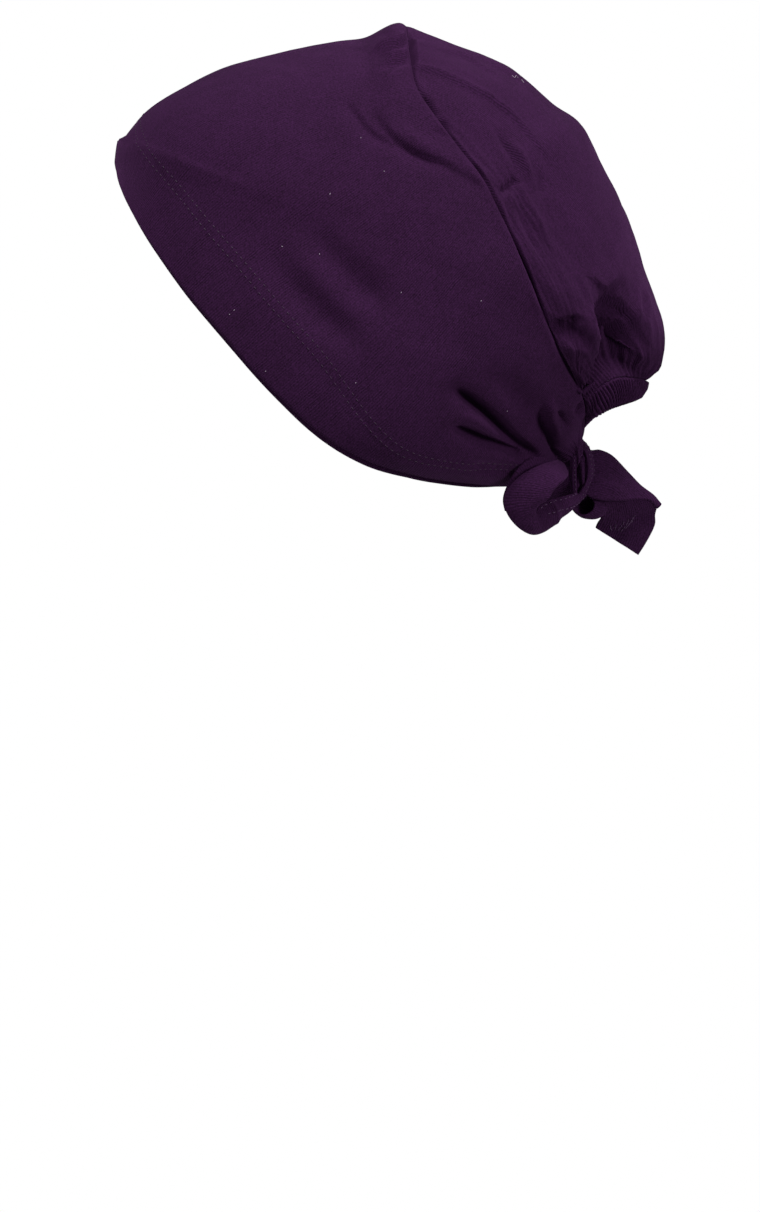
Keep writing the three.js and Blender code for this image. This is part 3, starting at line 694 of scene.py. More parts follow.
@dataclass(frozen=True)
class CapForm:
    """The worn form that the panels are stretched over, in millimetres.

    Its three reaches are read from the solid model's boxes, and the shares that the boxes have of
    them are fixed by the tables.
    """

    width_share: float = 1.0195
    back_share: float = 0.9984
    drop_share: float = 0.9921
    centre_y: float = 0.112
    centre_z: float = -0.467
    fullness: float = 2.4
    outline_points: int = 1200

    @cached_property
    def front_reach(self) -> float:
        """Origin to the brow edge."""
        return -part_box("front_panel")[0][1] / MM

    @cached_property
    def back_reach(self) -> float:
        """Origin to the rearmost cloth."""
        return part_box("back_panel")[1][1] / MM / self.back_share

    @cached_property
    def drop(self) -> float:
        """Origin down to the nape edge."""
        return -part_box("front_panel")[0][2] / MM / self.drop_share

    @cached_property
    def half_width(self) -> float:
        """Mid-plane to the widest cloth."""
        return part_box("front_panel")[1][0] / MM / self.width_share

    def place(self, shares: Array) -> Array:
        """Points from shares of the form's reaches.

        Args:
            shares: x of the half width, y of the reach ahead or back, and z of the drop.

        Returns:
            The points, in millimetres.
        """
        x, y, z = np.moveaxis(shares, -1, 0)
        reach = np.where(y < 0, self.front_reach, self.back_reach)
        return np.stack([x * self.half_width, y * reach, z * self.drop], axis=-1)

    @cached_property
    def centre(self) -> Array:
        """The form's centre."""
        return self.place(np.array([0.0, self.centre_y, self.centre_z]))

    @cached_property
    def outline(self) -> tuple[Array, Array]:
        """Angles about the centre and the side outline's distance at each."""
        corners = self.place(np.column_stack([np.zeros(len(OUTLINE)), OUTLINE]))
        shares = np.linspace(0.0, 1.0, self.outline_points, endpoint=False)
        arms = curve_through(corners, shares, closed=True) - self.centre
        angle = np.arctan2(arms[:, 2], arms[:, 1])
        order = angle.argsort()
        return angle[order], np.hypot(arms[:, 1], arms[:, 2])[order]

    def reach(self, direction: Array) -> Array:
        """Distance from the centre to the form.

        The share of the half width and the share of the outline's reach, each to the power of the
        fullness, add up to 1.

        Args:
            direction: Directions of length 1.

        Returns:
            The distance in each direction.
        """
        angles, reaches = self.outline
        angle = np.arctan2(direction[..., 2], direction[..., 1])
        outline = np.interp(angle, angles, reaches, period=2 * np.pi)
        side = np.abs(direction[..., 0]) / self.half_width
        length = np.hypot(direction[..., 1], direction[..., 2]) / outline
        return (side**self.fullness + length**self.fullness) ** (-1 / self.fullness)

    def stretched(self, start: Array, end: Array, share: Array) -> Array:
        """Cloth stretched over the form between two lines.

        The direction from the centre turns evenly from the first line to the second, and the
        form's reach is eased so that the cloth starts and ends on them.

        Args:
            start: The first line's points.
            end: The second line's points.
            share: How far across the cloth each row is, for each point of the lines.

        Returns:
            Points, column by row.
        """
        arm_start, arm_end = start - self.centre, end - self.centre
        way_start, way_end = unit(arm_start), unit(arm_end)
        turn = np.arccos(np.clip((way_start * way_end).sum(-1), -1.0, 1.0))[:, None]
        ease_start = (np.linalg.norm(arm_start, axis=-1) / self.reach(way_start))[:, None]
        ease_end = (np.linalg.norm(arm_end, axis=-1) / self.reach(way_end))[:, None]
        direction = unit(
            np.sin((1 - share) * turn)[..., None] * way_start[:, None]
            + np.sin(share * turn)[..., None] * way_end[:, None]
        )
        reach = self.reach(direction) * (ease_start + (ease_end - ease_start) * share)
        return self.centre + direction * reach[..., None]


@dataclass(frozen=True)
class KnotPlace:
    """The knot's centre and half sizes in millimetres, from its solid."""

    @cached_property
    def corners(self) -> Array:
        """Its lowest and highest corner."""
        return np.array([tuple(corner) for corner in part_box("knot")]) / MM

    @cached_property
    def centre(self) -> Array:
        """Its middle."""
        return self.corners.mean(axis=0)

    @cached_property
    def half(self) -> Array:
        """Its half width, half depth and half height."""
        return (self.corners[1] - self.corners[0]) / 2


FORM = CapForm()
KNOT = KnotPlace()


def hem_and_seam(place: Array) -> tuple[Array, Array]:
    """Points of the hem line and of the seam line of the front panel.

    Args:
        place: From -1 at the right of the knot over 0 at the mid-plane to 1 at its left.

    Returns:
        The points of the two lines.
    """
    side = np.array([KNOT.half[0] + 2 * CLEARANCE, 0.0, 0.0])
    depth_height = 2 * KNOT.half[1:]
    ends = [KNOT.centre + side + np.append(0.0, share * depth_height) for share in KNOT_END]
    hem = np.vstack([FORM.place(SECTIONS[:, :3]), ends[0]])
    seam = np.vstack([FORM.place(SECTIONS[:, 3:]), ends[1]])
    share = 0.5 + place / 2
    return curve_through(both_sides(hem), share), curve_through(both_sides(seam), share)


def beyond_seam(place: Array, clearance: float = CLEARANCE) -> Array:
    """Points just past the front panel's rear edge, along its cloth and square to the edge.

    Args:
        place: As in hem_and_seam.
        clearance: How far past.

    Returns:
        The points.
    """
    hem, seam = hem_and_seam(place)
    small, near_share = 1e-4, 0.97
    tangent = unit(hem_and_seam(place + small)[1] - hem_and_seam(place - small)[1])
    near = FORM.stretched(hem, seam, np.full((len(place), 1), near_share))[:, 0]
    outward = seam - near
    outward = unit(outward - (outward * tangent).sum(-1, keepdims=True) * tangent)
    return seam + clearance * outward


def side_folds(grid: Array, folds: tuple[Fold, ...]) -> Array:
    """The folds' heights on a panel.

    They fade out towards the mid-plane. The right side has the left side's folds, a little
    elsewhere and weaker.

    Args:
        grid: The panel's points.
        folds: Its folds.

    Returns:
        The outward move of each point.
    """
    right = grid[..., :1] < 0
    places = grid[..., 1:] - np.where(right, OTHER_SIDE, 0.0)
    side = smoothstep(np.abs(grid[..., 0]) / FORM.half_width, *FOLD_FADE)
    strength = FOLD_STRENGTH * np.where(right[..., 0], OTHER_STRENGTH, 1.0)
    return side * strength * fold_heights(places, folds)


def seam_fade(from_seam: Array, kept: float) -> Array:
    """The share of a panel's folds near the seam: an even rise from what is kept there to 1."""
    return kept + (1 - kept) * smoothstep(from_seam, *SEAM_FADE)


def edge_rows(lengths: Array, near: Array, far: Array, count: int) -> Array:
    """Shares of rows that lie at fixed distances near both edges and evenly between.

    Where a column is short, the distances shrink so that each edge's rows keep to its own side.

    Args:
        lengths: The length of each column.
        near: Distances from the first edge, for each column.
        far: Distances from the last edge, rising.
        count: How many even rows lie between.

    Returns:
        The share of each row in each column.
    """
    room = 0.46 * lengths[:, None]
    first = near * np.minimum(1.0, room / near[:, -1:])
    last = far * np.minimum(1.0, room / far[-1])
    steps = np.arange(1, count + 1) / (count + 1)
    start, end = first[:, -1:], lengths[:, None] - last[:, -1:]
    between = start + (end - start) * steps
    return np.hstack([first, between, lengths[:, None] - last[:, ::-1]]) / lengths[:, None]


@dataclass(frozen=True)
class Waves:
    """Small soft waves: their height, their sizes along and across the cloth, and their seed."""

    height: float
    along: float
    across: float
    seed: int

    def read(self, along: Array, across: Array) -> Array:
        """The waves' height at places along and across the cloth."""
        return self.height * soft_noise(along / self.along, across / self.across, self.seed)


@dataclass(frozen=True)
class SeamDitch:
    """The ditch that a seam pulls and the low roll of its allowance beside it, in millimetres."""

    depth: float = 1.3
    width: float = 0.9
    roll_height: float = 0.3
    roll_place: float = 2.4
    roll_width: float = 1.3
    middle_share: float = 0.2
    fade: tuple[float, float] = (0.05, 0.35)

    def read(self, grid: Array, from_seam: Array) -> Array:
        """How far the ditch and the roll move the cloth outward.

        The roll is a bell of the distance from its place and the ditch falls a little less
        steeply. Both are shallow on the mid-plane, where the seam's allowance stands upright.

        Args:
            grid: The panel's points.
            from_seam: Each point's distance from the seam.

        Returns:
            The outward move of each point.
        """
        side = smoothstep(np.abs(grid[..., 0]) / FORM.half_width, *self.fade)
        share = self.middle_share + (1 - self.middle_share) * side
        roll = self.roll_height * bell(from_seam - self.roll_place, self.roll_width)
        return share * (roll - self.depth * np.exp(-((from_seam / self.width) ** 1.5)))


@dataclass(frozen=True)
class Gathers:
    """Gathers that die away from a casing, in millimetres."""

    depth: float
    reach: float
    rise: tuple[float, float]
    number_share: float

    def read(self, from_casing: Array, number: Array) -> Array:
        """How far the gathers move the cloth outward.

        Their height is a cosine of the gather's number. It falls as the exponential of minus the
        distance from the casing over the reach, and rises from nothing right at the casing.

        Args:
            from_casing: Each point's distance from the casing.
            number: Each point's place among the finest gathers, a whole number on each crest.

        Returns:
            The outward move of each point.
        """
        fade = np.exp(-from_casing / self.reach) * smoothstep(from_casing, *self.rise)
        return self.depth * fade * np.cos(2 * np.pi * self.number_share * number)


DITCH = SeamDitch()


def srgb(code: str) -> tuple[float, float, float, float]:
    """A linear colour from an sRGB hex code.

    Args:
        code: The code, with its number sign.

    Returns:
        Red, green, blue and 1: up to a low value the code's share over 12.92, and above it the
        2.4th power of the share raised by 0.055 and divided by 1.055.
    """
    parts = np.array([int(code[start:start + 2], 16) for start in (1, 3, 5)]) / 255
    linear = np.where(parts <= 0.04045, parts / 12.92, ((parts + 0.055) / 1.055) ** 2.4)
    return (*linear.tolist(), 1.0)


def add_node(
    tree: bpy.types.NodeTree, kind: str, inputs: dict[str | int, object] | None = None, **settings: object
) -> bpy.types.Node:
    """Adds a node to a material or a world.

    Args:
        tree: Its nodes.
        kind: The node's type.
        inputs: A value, or another node's output to link, for each input by name or number.
        settings: The node's own properties.

    Returns:
        The node.
    """
    node = tree.nodes.new(kind)
    for name, value in settings.items():
        setattr(node, name, value)
    for name, value in (inputs or {}).items():
        if isinstance(value, bpy.types.NodeSocket):
            tree.links.new(value, node.inputs[name])
        else:
            node.inputs[name].default_value = value
    return node


def empty_nodes(holder: bpy.types.Material | bpy.types.World) -> Callable[..., bpy.types.Node]:
    """Clears the nodes of a new material or world.

    Args:
        holder: The material or world.

    Returns:
        The call that adds a node to it.
    """
    holder.use_nodes = True
    holder.node_tree.nodes.clear()
    return partial(add_node, holder.node_tree)


@dataclass(frozen=True)
class ViscoseJersey:
    """Fine single jersey knitted from viscose and elastane, piece dyed aubergine.

    Knitting gives it thin ribs that show as faint streaks, and its brushed-up fibres catch light
    where the cloth turns away, so its edges look paler than its face. Real ribs lie about 0.5 mm
    apart and real fibres closer still: both are drawn as coarse as they need to show.
    """

    name: str
    dark: str = "#230a25"
    light: str = "#401c46"
    fibre: str = "#93549c"
    rib_pitch: float = 1.0  # mm
    rib_depth: float = 0.09  # mm
    rib_sway: float = 1.6  # mm that a rib wanders to the side
    sway_scale: float = 0.11  # sways in a millimetre
    streak_scale: tuple[float, float, float] = (0.75, 0.045, 1.0)  # streaks in a millimetre, across and along
    mottle_scale: float = 90.0  # patches in a metre, from uneven stretch
    fibre_scale: float = 1500.0  # tufts of fibre in a metre
    rib_tone: float = 0.24
    mottle_tone: float = 0.35
    fibre_tone: float = 1.9
    fibre_relief: float = 0.8
    roughness: float = 0.9
    gloss: float = 0.12
    sheen: float = 0.27

    def build(self) -> bpy.types.Material:
        """Makes the material: ribs and streaks from the knit map, mottling from object places.

        A rib is a sine of the place across the ribs, which sways with noise, times the strength
        of drawn-out noise. Its tone, the mottling's and the fibres' add up to a share between the
        dark colour and the light one.

        Returns:
            The material.
        """
        material = bpy.data.materials.new(self.name)
        add = empty_nodes(material)
        place = add("ShaderNodeUVMap", uv_map=KNIT_MAP).outputs["UV"]
        wander = add("ShaderNodeTexNoise", {"Vector": place, "Scale": self.sway_scale, "Detail": 2.0})
        sway = add("ShaderNodeMath", {0: wander.outputs["Fac"], 1: self.rib_sway}, operation="MULTIPLY")
        axes = add("ShaderNodeSeparateXYZ", {"Vector": place})
        across = add("ShaderNodeMath", {0: axes.outputs["X"], 1: sway.outputs[0]}, operation="ADD")
        turn = {0: across.outputs[0], 1: 2 * np.pi / self.rib_pitch}
        rib = add("ShaderNodeMath", {0: add("ShaderNodeMath", turn, operation="MULTIPLY").outputs[0]},
                  operation="SINE")
        drawn = add("ShaderNodeMapping", {"Vector": place, "Scale": self.streak_scale})
        streak = add("ShaderNodeTexNoise", {"Vector": drawn.outputs[0], "Scale": 1.0, "Detail": 3.0})
        force = add("ShaderNodeMapRange", {
            "Value": streak.outputs["Fac"], "From Min": 0.35, "From Max": 0.65, "To Min": 0.15, "To Max": 1.0,
        })
        ribs = add("ShaderNodeMath", {0: rib.outputs[0], 1: force.outputs[0]}, operation="MULTIPLY")

        body = add("ShaderNodeTexCoord").outputs["Object"]
        mottle = add("ShaderNodeTexNoise", {"Vector": body, "Scale": self.mottle_scale, "Detail": 4.0})
        fuzz = add("ShaderNodeTexNoise", {"Vector": body, "Scale": self.fibre_scale, "Detail": 2.0})
        tones = [
            add("ShaderNodeMath", {0: pattern, 1: strength, 2: shift}, operation="MULTIPLY_ADD").outputs[0]
            for pattern, strength, shift in (
                (ribs.outputs[0], self.rib_tone, 0.5),
                (mottle.outputs["Fac"], self.mottle_tone, -self.mottle_tone / 2),
                (fuzz.outputs["Fac"], self.fibre_tone, -self.fibre_tone / 2),
            )
        ]
        mixed = add("ShaderNodeMath", {0: tones[0], 1: tones[1]}, operation="ADD")
        shade = add("ShaderNodeMath", {0: mixed.outputs[0], 1: tones[2]}, operation="ADD")
        colours = {0: shade.outputs[0], 6: srgb(self.dark), 7: srgb(self.light)}
        colour = add("ShaderNodeMix", colours, data_type="RGBA")
        height = {0: fuzz.outputs["Fac"], 1: self.fibre_relief, 2: ribs.outputs[0]}
        relief = add("ShaderNodeMath", height, operation="MULTIPLY_ADD")
        bump = add("ShaderNodeBump", {
            "Height": relief.outputs[0], "Distance": self.rib_depth * MM, "Strength": 1.0,
        })
        surface = add("ShaderNodeBsdfPrincipled", {
            "Base Color": colour.outputs[2], "Roughness": self.roughness, "Normal": bump.outputs[0],
            "IOR": 1.5, "Specular IOR Level": self.gloss, "Sheen Weight": self.sheen,
            "Sheen Roughness": 0.5, "Sheen Tint": srgb(self.fibre),
        })
        add("ShaderNodeOutputMaterial", {"Surface": surface.outputs[0]})
        return material


@dataclass(frozen=True)
class SewingThread:
    """Spun polyester thread, or cotton lint, of one colour.

    Its twisted plies scatter light in fine dark and light turns, so a stitch never looks flat.
    """

    name: str = "spun_polyester_thread"
    colour: str = "#5f3a66"
    roughness: float = 0.55
    shadow: float = 0.6  # brightness between the plies over that on them
    ply_scale: float = 2500.0  # plies in a metre
    ply_depth: float = 0.05  # mm

    def build(self) -> bpy.types.Material:
        """Makes the material: noise between the dark and the full colour, and as fine bump.

        Returns:
            The material.
        """
        material = bpy.data.materials.new(self.name)
        add = empty_nodes(material)
        body = add("ShaderNodeTexCoord").outputs["Object"]
        ply = add("ShaderNodeTexNoise", {"Vector": body, "Scale": self.ply_scale, "Detail": 1.0}).outputs["Fac"]
        full = srgb(self.colour)
        dark = (*(self.shadow * part for part in full[:3]), 1.0)
        colour = add("ShaderNodeMix", {0: ply, 6: dark, 7: full}, data_type="RGBA")
        bump = add("ShaderNodeBump", {"Height": ply, "Distance": self.ply_depth * MM})
        surface = add("ShaderNodeBsdfPrincipled", {
            "Base Color": colour.outputs[2], "Roughness": self.roughness, "Normal": bump.outputs[0],
        })
        add("ShaderNodeOutputMaterial", {"Surface": surface.outputs[0]})
        return material


def finish_piece(
    piece: bpy.types.Object, material: bpy.types.Material, slot: str, *nodes: str
) -> bpy.types.Object:
    """Gives a piece its material, lets it ride on the cap and replaces its solids.

    Args:
        piece: The object.
        material: Its material.
        slot: Not used.
        nodes: The solids that it stands for.

    Returns:
        The object.
    """
    piece.data.materials.append(material)
    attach(piece, "root")
    if nodes:
        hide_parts(*nodes)
    LOG.info("%s: %d faces", piece.name, len(piece.data.polygons))
    return piece


def stitching(
    name: str, seams: list[Places], material: bpy.types.Material, length: float, radius: float, lift: float = 0.08
) -> bpy.types.Object:
    """Makes stitches at places on the cloth.

    Args:
        name: The piece's name.
        seams: Places for each line of stitches.
        material: The thread.
        length: Each stitch's length.
        radius: Each stitch's radius.
        lift: How far each stitch's middle lies above the cloth.

    Returns:
        The piece.
    """
    centres, along, up = (np.vstack(parts) for parts in zip(*seams))
    count = len(centres)
    rods = tiny_rods(name, centres + lift * up, along, up, np.full(count, length), np.full(count, radius))
    return finish_piece(rods, material, "thread")


@dataclass
class FrontPanel:
    """The panel from the brow over the crown and round to the knot, with its turned and stitched hem.

    Lengths are millimetres, and places along the panel run from -1 at the right of the knot over
    0 at the brow to 1 at the knot's left.
    """

    columns: int = 400
    even_rows: int = 78
    crowding: float = 0.05  # how much closer together the columns lie at the knot
    hem_reach: float = 18.0  # from the edge to the first stitch row, at the brow
    hem_narrowing: float = 0.66  # share of that which has rolled under at the nape
    narrowing_y: tuple[float, float] = (-34.0, 24.0)  # where it rolls under, along the head
    hem_wall: float = 2.1
    hem_end: tuple[float, float] = (2.0, 3.4)  # past the first row, where the turned cloth ends
    nape: tuple[float, float] = (0.5, 0.74)  # places between which the hem starts to roll
    roll: float = 9.0
    roll_power: float = 1.1
    roll_turn: float = 8.0
    row_gap: float = 3.0
    stitch_pitch: float = 2.9
    groove: float = 0.2
    nape_groove: float = 0.5
    pucker: float = 0.05
    gathered: tuple[float, float] = (0.86, 1.0)  # places between which the knot gathers the panel
    gathers: float = 4.5
    gather_depth: float = 0.45
    gather_wander: Waves = Waves(0.4, 8.0, 1 / 3, 5)
    waves: tuple[Waves, ...] = (Waves(0.36, 17.0, 23.0, 3), Waves(0.09, 5.0, 9.0, 4))
    hem_shares: Array = field(default_factory=lambda: np.array(
        [0.0, 0.014, 0.035, 0.065, 0.1, 0.16, 0.24, 0.34, 0.45, 0.56, 0.67, 0.78, 0.88, 0.95, 1.0]))
    stitch_steps: Array = field(default_factory=lambda: np.array([0.7, 1.5, 2.3, 3.0, 3.8, 5.0]))

    @cached_property
    def place(self) -> Array:
        """Places of the columns, closer together at the knot."""
        even = np.linspace(-1.0, 1.0, self.columns)
        return even + self.crowding * np.sin(np.pi * even) * np.abs(even)

    @cached_property
    def hem_width(self) -> Array:
        """Distance of the first stitch row from the edge: it narrows where the hem rolls under."""
        hem, _ = hem_and_seam(self.place)
        return self.hem_reach * (1.0 - self.hem_narrowing * smoothstep(hem[:, 1], *self.narrowing_y))

    @cached_property
    def smooth(self) -> Array:
        """The panel before its folds, column by row."""
        hem, seam = hem_and_seam(self.place)
        rough = FORM.stretched(hem, seam, np.tile(ROUGH_ROWS, (self.columns, 1)))
        lengths = length_along(rough, 1)[:, -1]
        width = self.hem_width[:, None]
        near = np.hstack([width * self.hem_shares, width + self.stitch_steps])
        return FORM.stretched(hem, seam, edge_rows(lengths, near, SEAM_STEPS, self.even_rows))

    @cached_property
    def stitch_rows(self) -> tuple[int, int]:
        """Row numbers of the two rows of stitches, which lie at the row gap from each other."""
        first = len(self.hem_shares) - 1
        return first, first + 1 + int(np.argmin(np.abs(self.stitch_steps - self.row_gap)))

    @cached_property
    def outer(self) -> Array:
        """The outer side: folds, stitch grooves, seam ditch, gathers at the knot and small waves.

        At the nape the hem rolls inward by a power of the share of its width from its edge.
        """
        grid, normals = self.smooth, grid_normals(self.smooth)
        from_hem = length_along(grid, 1)
        from_seam = from_hem[:, -1:] - from_hem
        along = length_along(grid, 0)
        nape = smoothstep(np.abs(self.place), *self.nape)[:, None]
        width = self.hem_width[:, None]
        past_row = from_hem - width
        height = side_folds(grid, PANEL_FOLDS) * seam_fade(from_seam, 0.0)
        height -= (self.groove + self.nape_groove * nape) * bell(past_row, 1.0)
        height -= self.groove * bell(past_row - self.row_gap, 0.8)
        pucker = self.pucker * np.cos(2 * np.pi * along / self.stitch_pitch)
        height += pucker * bell(past_row - self.row_gap / 2, self.row_gap)
        height += DITCH.read(grid, from_seam)
        height += sum(waves.read(along, from_hem) for waves in self.waves)
        gathered = smoothstep(np.abs(self.place), *self.gathered)[:, None]
        share = from_hem / from_hem[:, -1:]
        number = self.gathers * share + self.gather_wander.read(along, share)
        height += self.gather_depth * gathered * np.cos(2 * np.pi * number)
        rolled = self.roll * nape * np.clip(1.0 - from_hem / width, 0.0, 1.0) ** self.roll_power
        inward = -np.tanh(grid[..., 0] / self.roll_turn) * rolled
        return grid + normals * height[..., None] + inward[..., None] * (1.0, 0.0, 0.0)

    def build(self, material: bpy.types.Material) -> bpy.types.Object:
        """Makes the panel's mesh, with a thicker wall as far as its hem is turned.

        Args:
            material: The jersey.

        Returns:
            The piece.
        """
        normals = grid_normals(self.smooth)
        from_hem = length_along(self.smooth, 1)
        turned = 1.0 - smoothstep(from_hem - self.hem_width[:, None], *self.hem_end)
        wall = WALL + (self.hem_wall - WALL) * turned
        thick = wall * rounded(from_hem, self.hem_wall)
        outer = self.outer - normals * ((wall - thick) / 2)[..., None]
        inner = outer - normals * thick[..., None]
        knit = cloth_map(self.smooth, self.stitch_rows[0])
        piece = closed_cloth("front_panel_jersey", outer, inner, knit)
        return finish_piece(piece, material, "jersey", "front_panel")

    def stitches(self, material: bpy.types.Material) -> bpy.types.Object:
        """Makes the two rows of the hem's twin-needle stitching.

        Args:
            material: The thread.

        Returns:
            The piece.
        """
        normals = grid_normals(self.outer)
        rows = [evenly(self.outer[:, row], normals[:, row], self.stitch_pitch) for row in self.stitch_rows]
        return stitching("hem_stitches", rows, material, length=1.4, radius=0.18, lift=0.04)


@dataclass
class BackPanel:
    """The full pouch, sewn to the front panel along the seam and gathered into the casing.

    Lengths are millimetres.
    """

    columns: int = 340
    even_rows: int = 96
    map_row: int = 40
    fold_end: tuple[float, float] = (0.0, 4.0)  # from the casing, where the folds fade out
    gathers: int = 46
    gather_wander: Waves = Waves(0.7, 1 / 20, 12.0, 8)
    fine: Gathers = Gathers(0.7, 9.0, (-0.5, 2.5), 1.0)
    wide: Gathers = Gathers(0.55, 26.0, (0.0, 6.0), 0.5)
    waves: tuple[Waves, ...] = (Waves(0.4, 15.0, 19.0, 6), Waves(0.16, 6.0, 8.0, 7))
    crumple: Waves = Waves(0.5, 5.5, 4.5, 9)
    crumple_centre: tuple[float, float] = (68.0, -66.0)
    crumple_size: tuple[float, float] = (14.0, 26.0)
    casing_steps: Array = field(
        default_factory=lambda: np.array([0.0, 0.5, 1.2, 2.2, 3.4, 4.8, 6.4, 8.2, 10.0]))

    @cached_property
    def share(self) -> Array:
        """Shares of the columns from the right end of the seam to its left end."""
        return np.linspace(0.0, 1.0, self.columns)

    @cached_property
    def smooth(self) -> Array:
        """The pouch before its folds, column by row."""
        seam = beyond_seam((2 * self.share - 1) * SEAM_END)
        casing = ElasticCasing.edges(self.share)[0]
        rough = FORM.stretched(seam, casing, np.tile(ROUGH_ROWS, (self.columns, 1)))
        lengths = length_along(rough, 1)[:, -1]
        near = np.tile(SEAM_STEPS, (self.columns, 1))
        return FORM.stretched(seam, casing, edge_rows(lengths, near, self.casing_steps, self.even_rows))

    @cached_property
    def outer(self) -> Array:
        """The outer side: folds, seam ditch, gathers over the casing, small waves and crumples."""
        grid, normals = self.smooth, grid_normals(self.smooth)
        from_seam = length_along(grid, 1)
        from_casing = from_seam[:, -1:] - from_seam
        along = length_along(grid, 0)
        share = self.share[:, None]
        height = side_folds(grid, POUCH_FOLDS) * smoothstep(from_casing, *self.fold_end)
        height *= seam_fade(from_seam, POUCH_FADE)
        height += DITCH.read(grid, from_seam)
        number = self.gathers * share + self.gather_wander.read(share, from_casing)
        height += self.fine.read(from_casing, number) + self.wide.read(from_casing, number)
        height += sum(waves.read(along, from_seam) for waves in self.waves)
        crumpled = np.ones(height.shape)
        for axis, centre, size in zip((1, 2), self.crumple_centre, self.crumple_size):
            crumpled *= bell(grid[..., axis] - centre, size)
        height += crumpled * self.crumple.read(along, from_seam)
        return grid + normals * height[..., None]

    def build(self, material: bpy.types.Material) -> bpy.types.Object:
        """Makes the pouch's mesh.

        Args:
            material: The jersey.

        Returns:
            The piece.
        """
        inner = self.outer - WALL * grid_normals(self.smooth)
        piece = closed_cloth("back_panel_jersey", self.outer, inner, cloth_map(self.smooth, self.map_row))
        return finish_piece(piece, material, "jersey", "back_panel")


@dataclass
class SeamAllowance:
    """The overlocked edges of both panels, which lie flat inside the cap along the seam.

    Lengths are millimetres.
    """

    columns: int = 420
    rows: int = 12
    end: float = 0.985  # place of its ends, as in hem_and_seam
    ahead: float = 4.0
    most_share: float = 0.3  # of the front panel, where that is narrow
    behind: float = 5.0
    depth: float = 2.0
    wall: float = 0.9

    def build(self, material: bpy.types.Material) -> bpy.types.Object:
        """Makes the strip: straight across the seam, below both panels and their folds.

        Args:
            material: The jersey.

        Returns:
            The piece.
        """
        place = np.linspace(-self.end, self.end, self.columns)
        hem, seam = hem_and_seam(place)
        length = np.linalg.norm(seam - hem, axis=-1)[:, None]
        start = FORM.stretched(hem, seam, 1 - np.minimum(self.ahead / length, self.most_share))[:, 0]
        end = beyond_seam(place, self.behind)
        half = self.rows // 2
        share = np.linspace(0.0, 1.0, half)[None, :, None]
        front = start[:, None] + (seam - start)[:, None] * share
        back = seam[:, None] + (end - seam)[:, None] * share[:, 1:]
        grid = np.concatenate([front, back], axis=1)
        normals = grid_normals(grid)
        away = np.linalg.norm(grid - seam[:, None], axis=-1)
        ahead = np.arange(grid.shape[1]) < half
        height = np.where(
            ahead,
            side_folds(grid, PANEL_FOLDS) * seam_fade(away, 0.0),
            side_folds(grid, POUCH_FOLDS) * seam_fade(away, POUCH_FADE),
        )
        outer = grid + normals * (height - self.depth)[..., None]
        knit = np.stack([length_along(grid, 0), length_along(grid, 1)], axis=-1)
        piece = closed_cloth("seam_allowance_cloth", outer, outer - normals * self.wall, knit)
        return finish_piece(piece, material, "jersey")


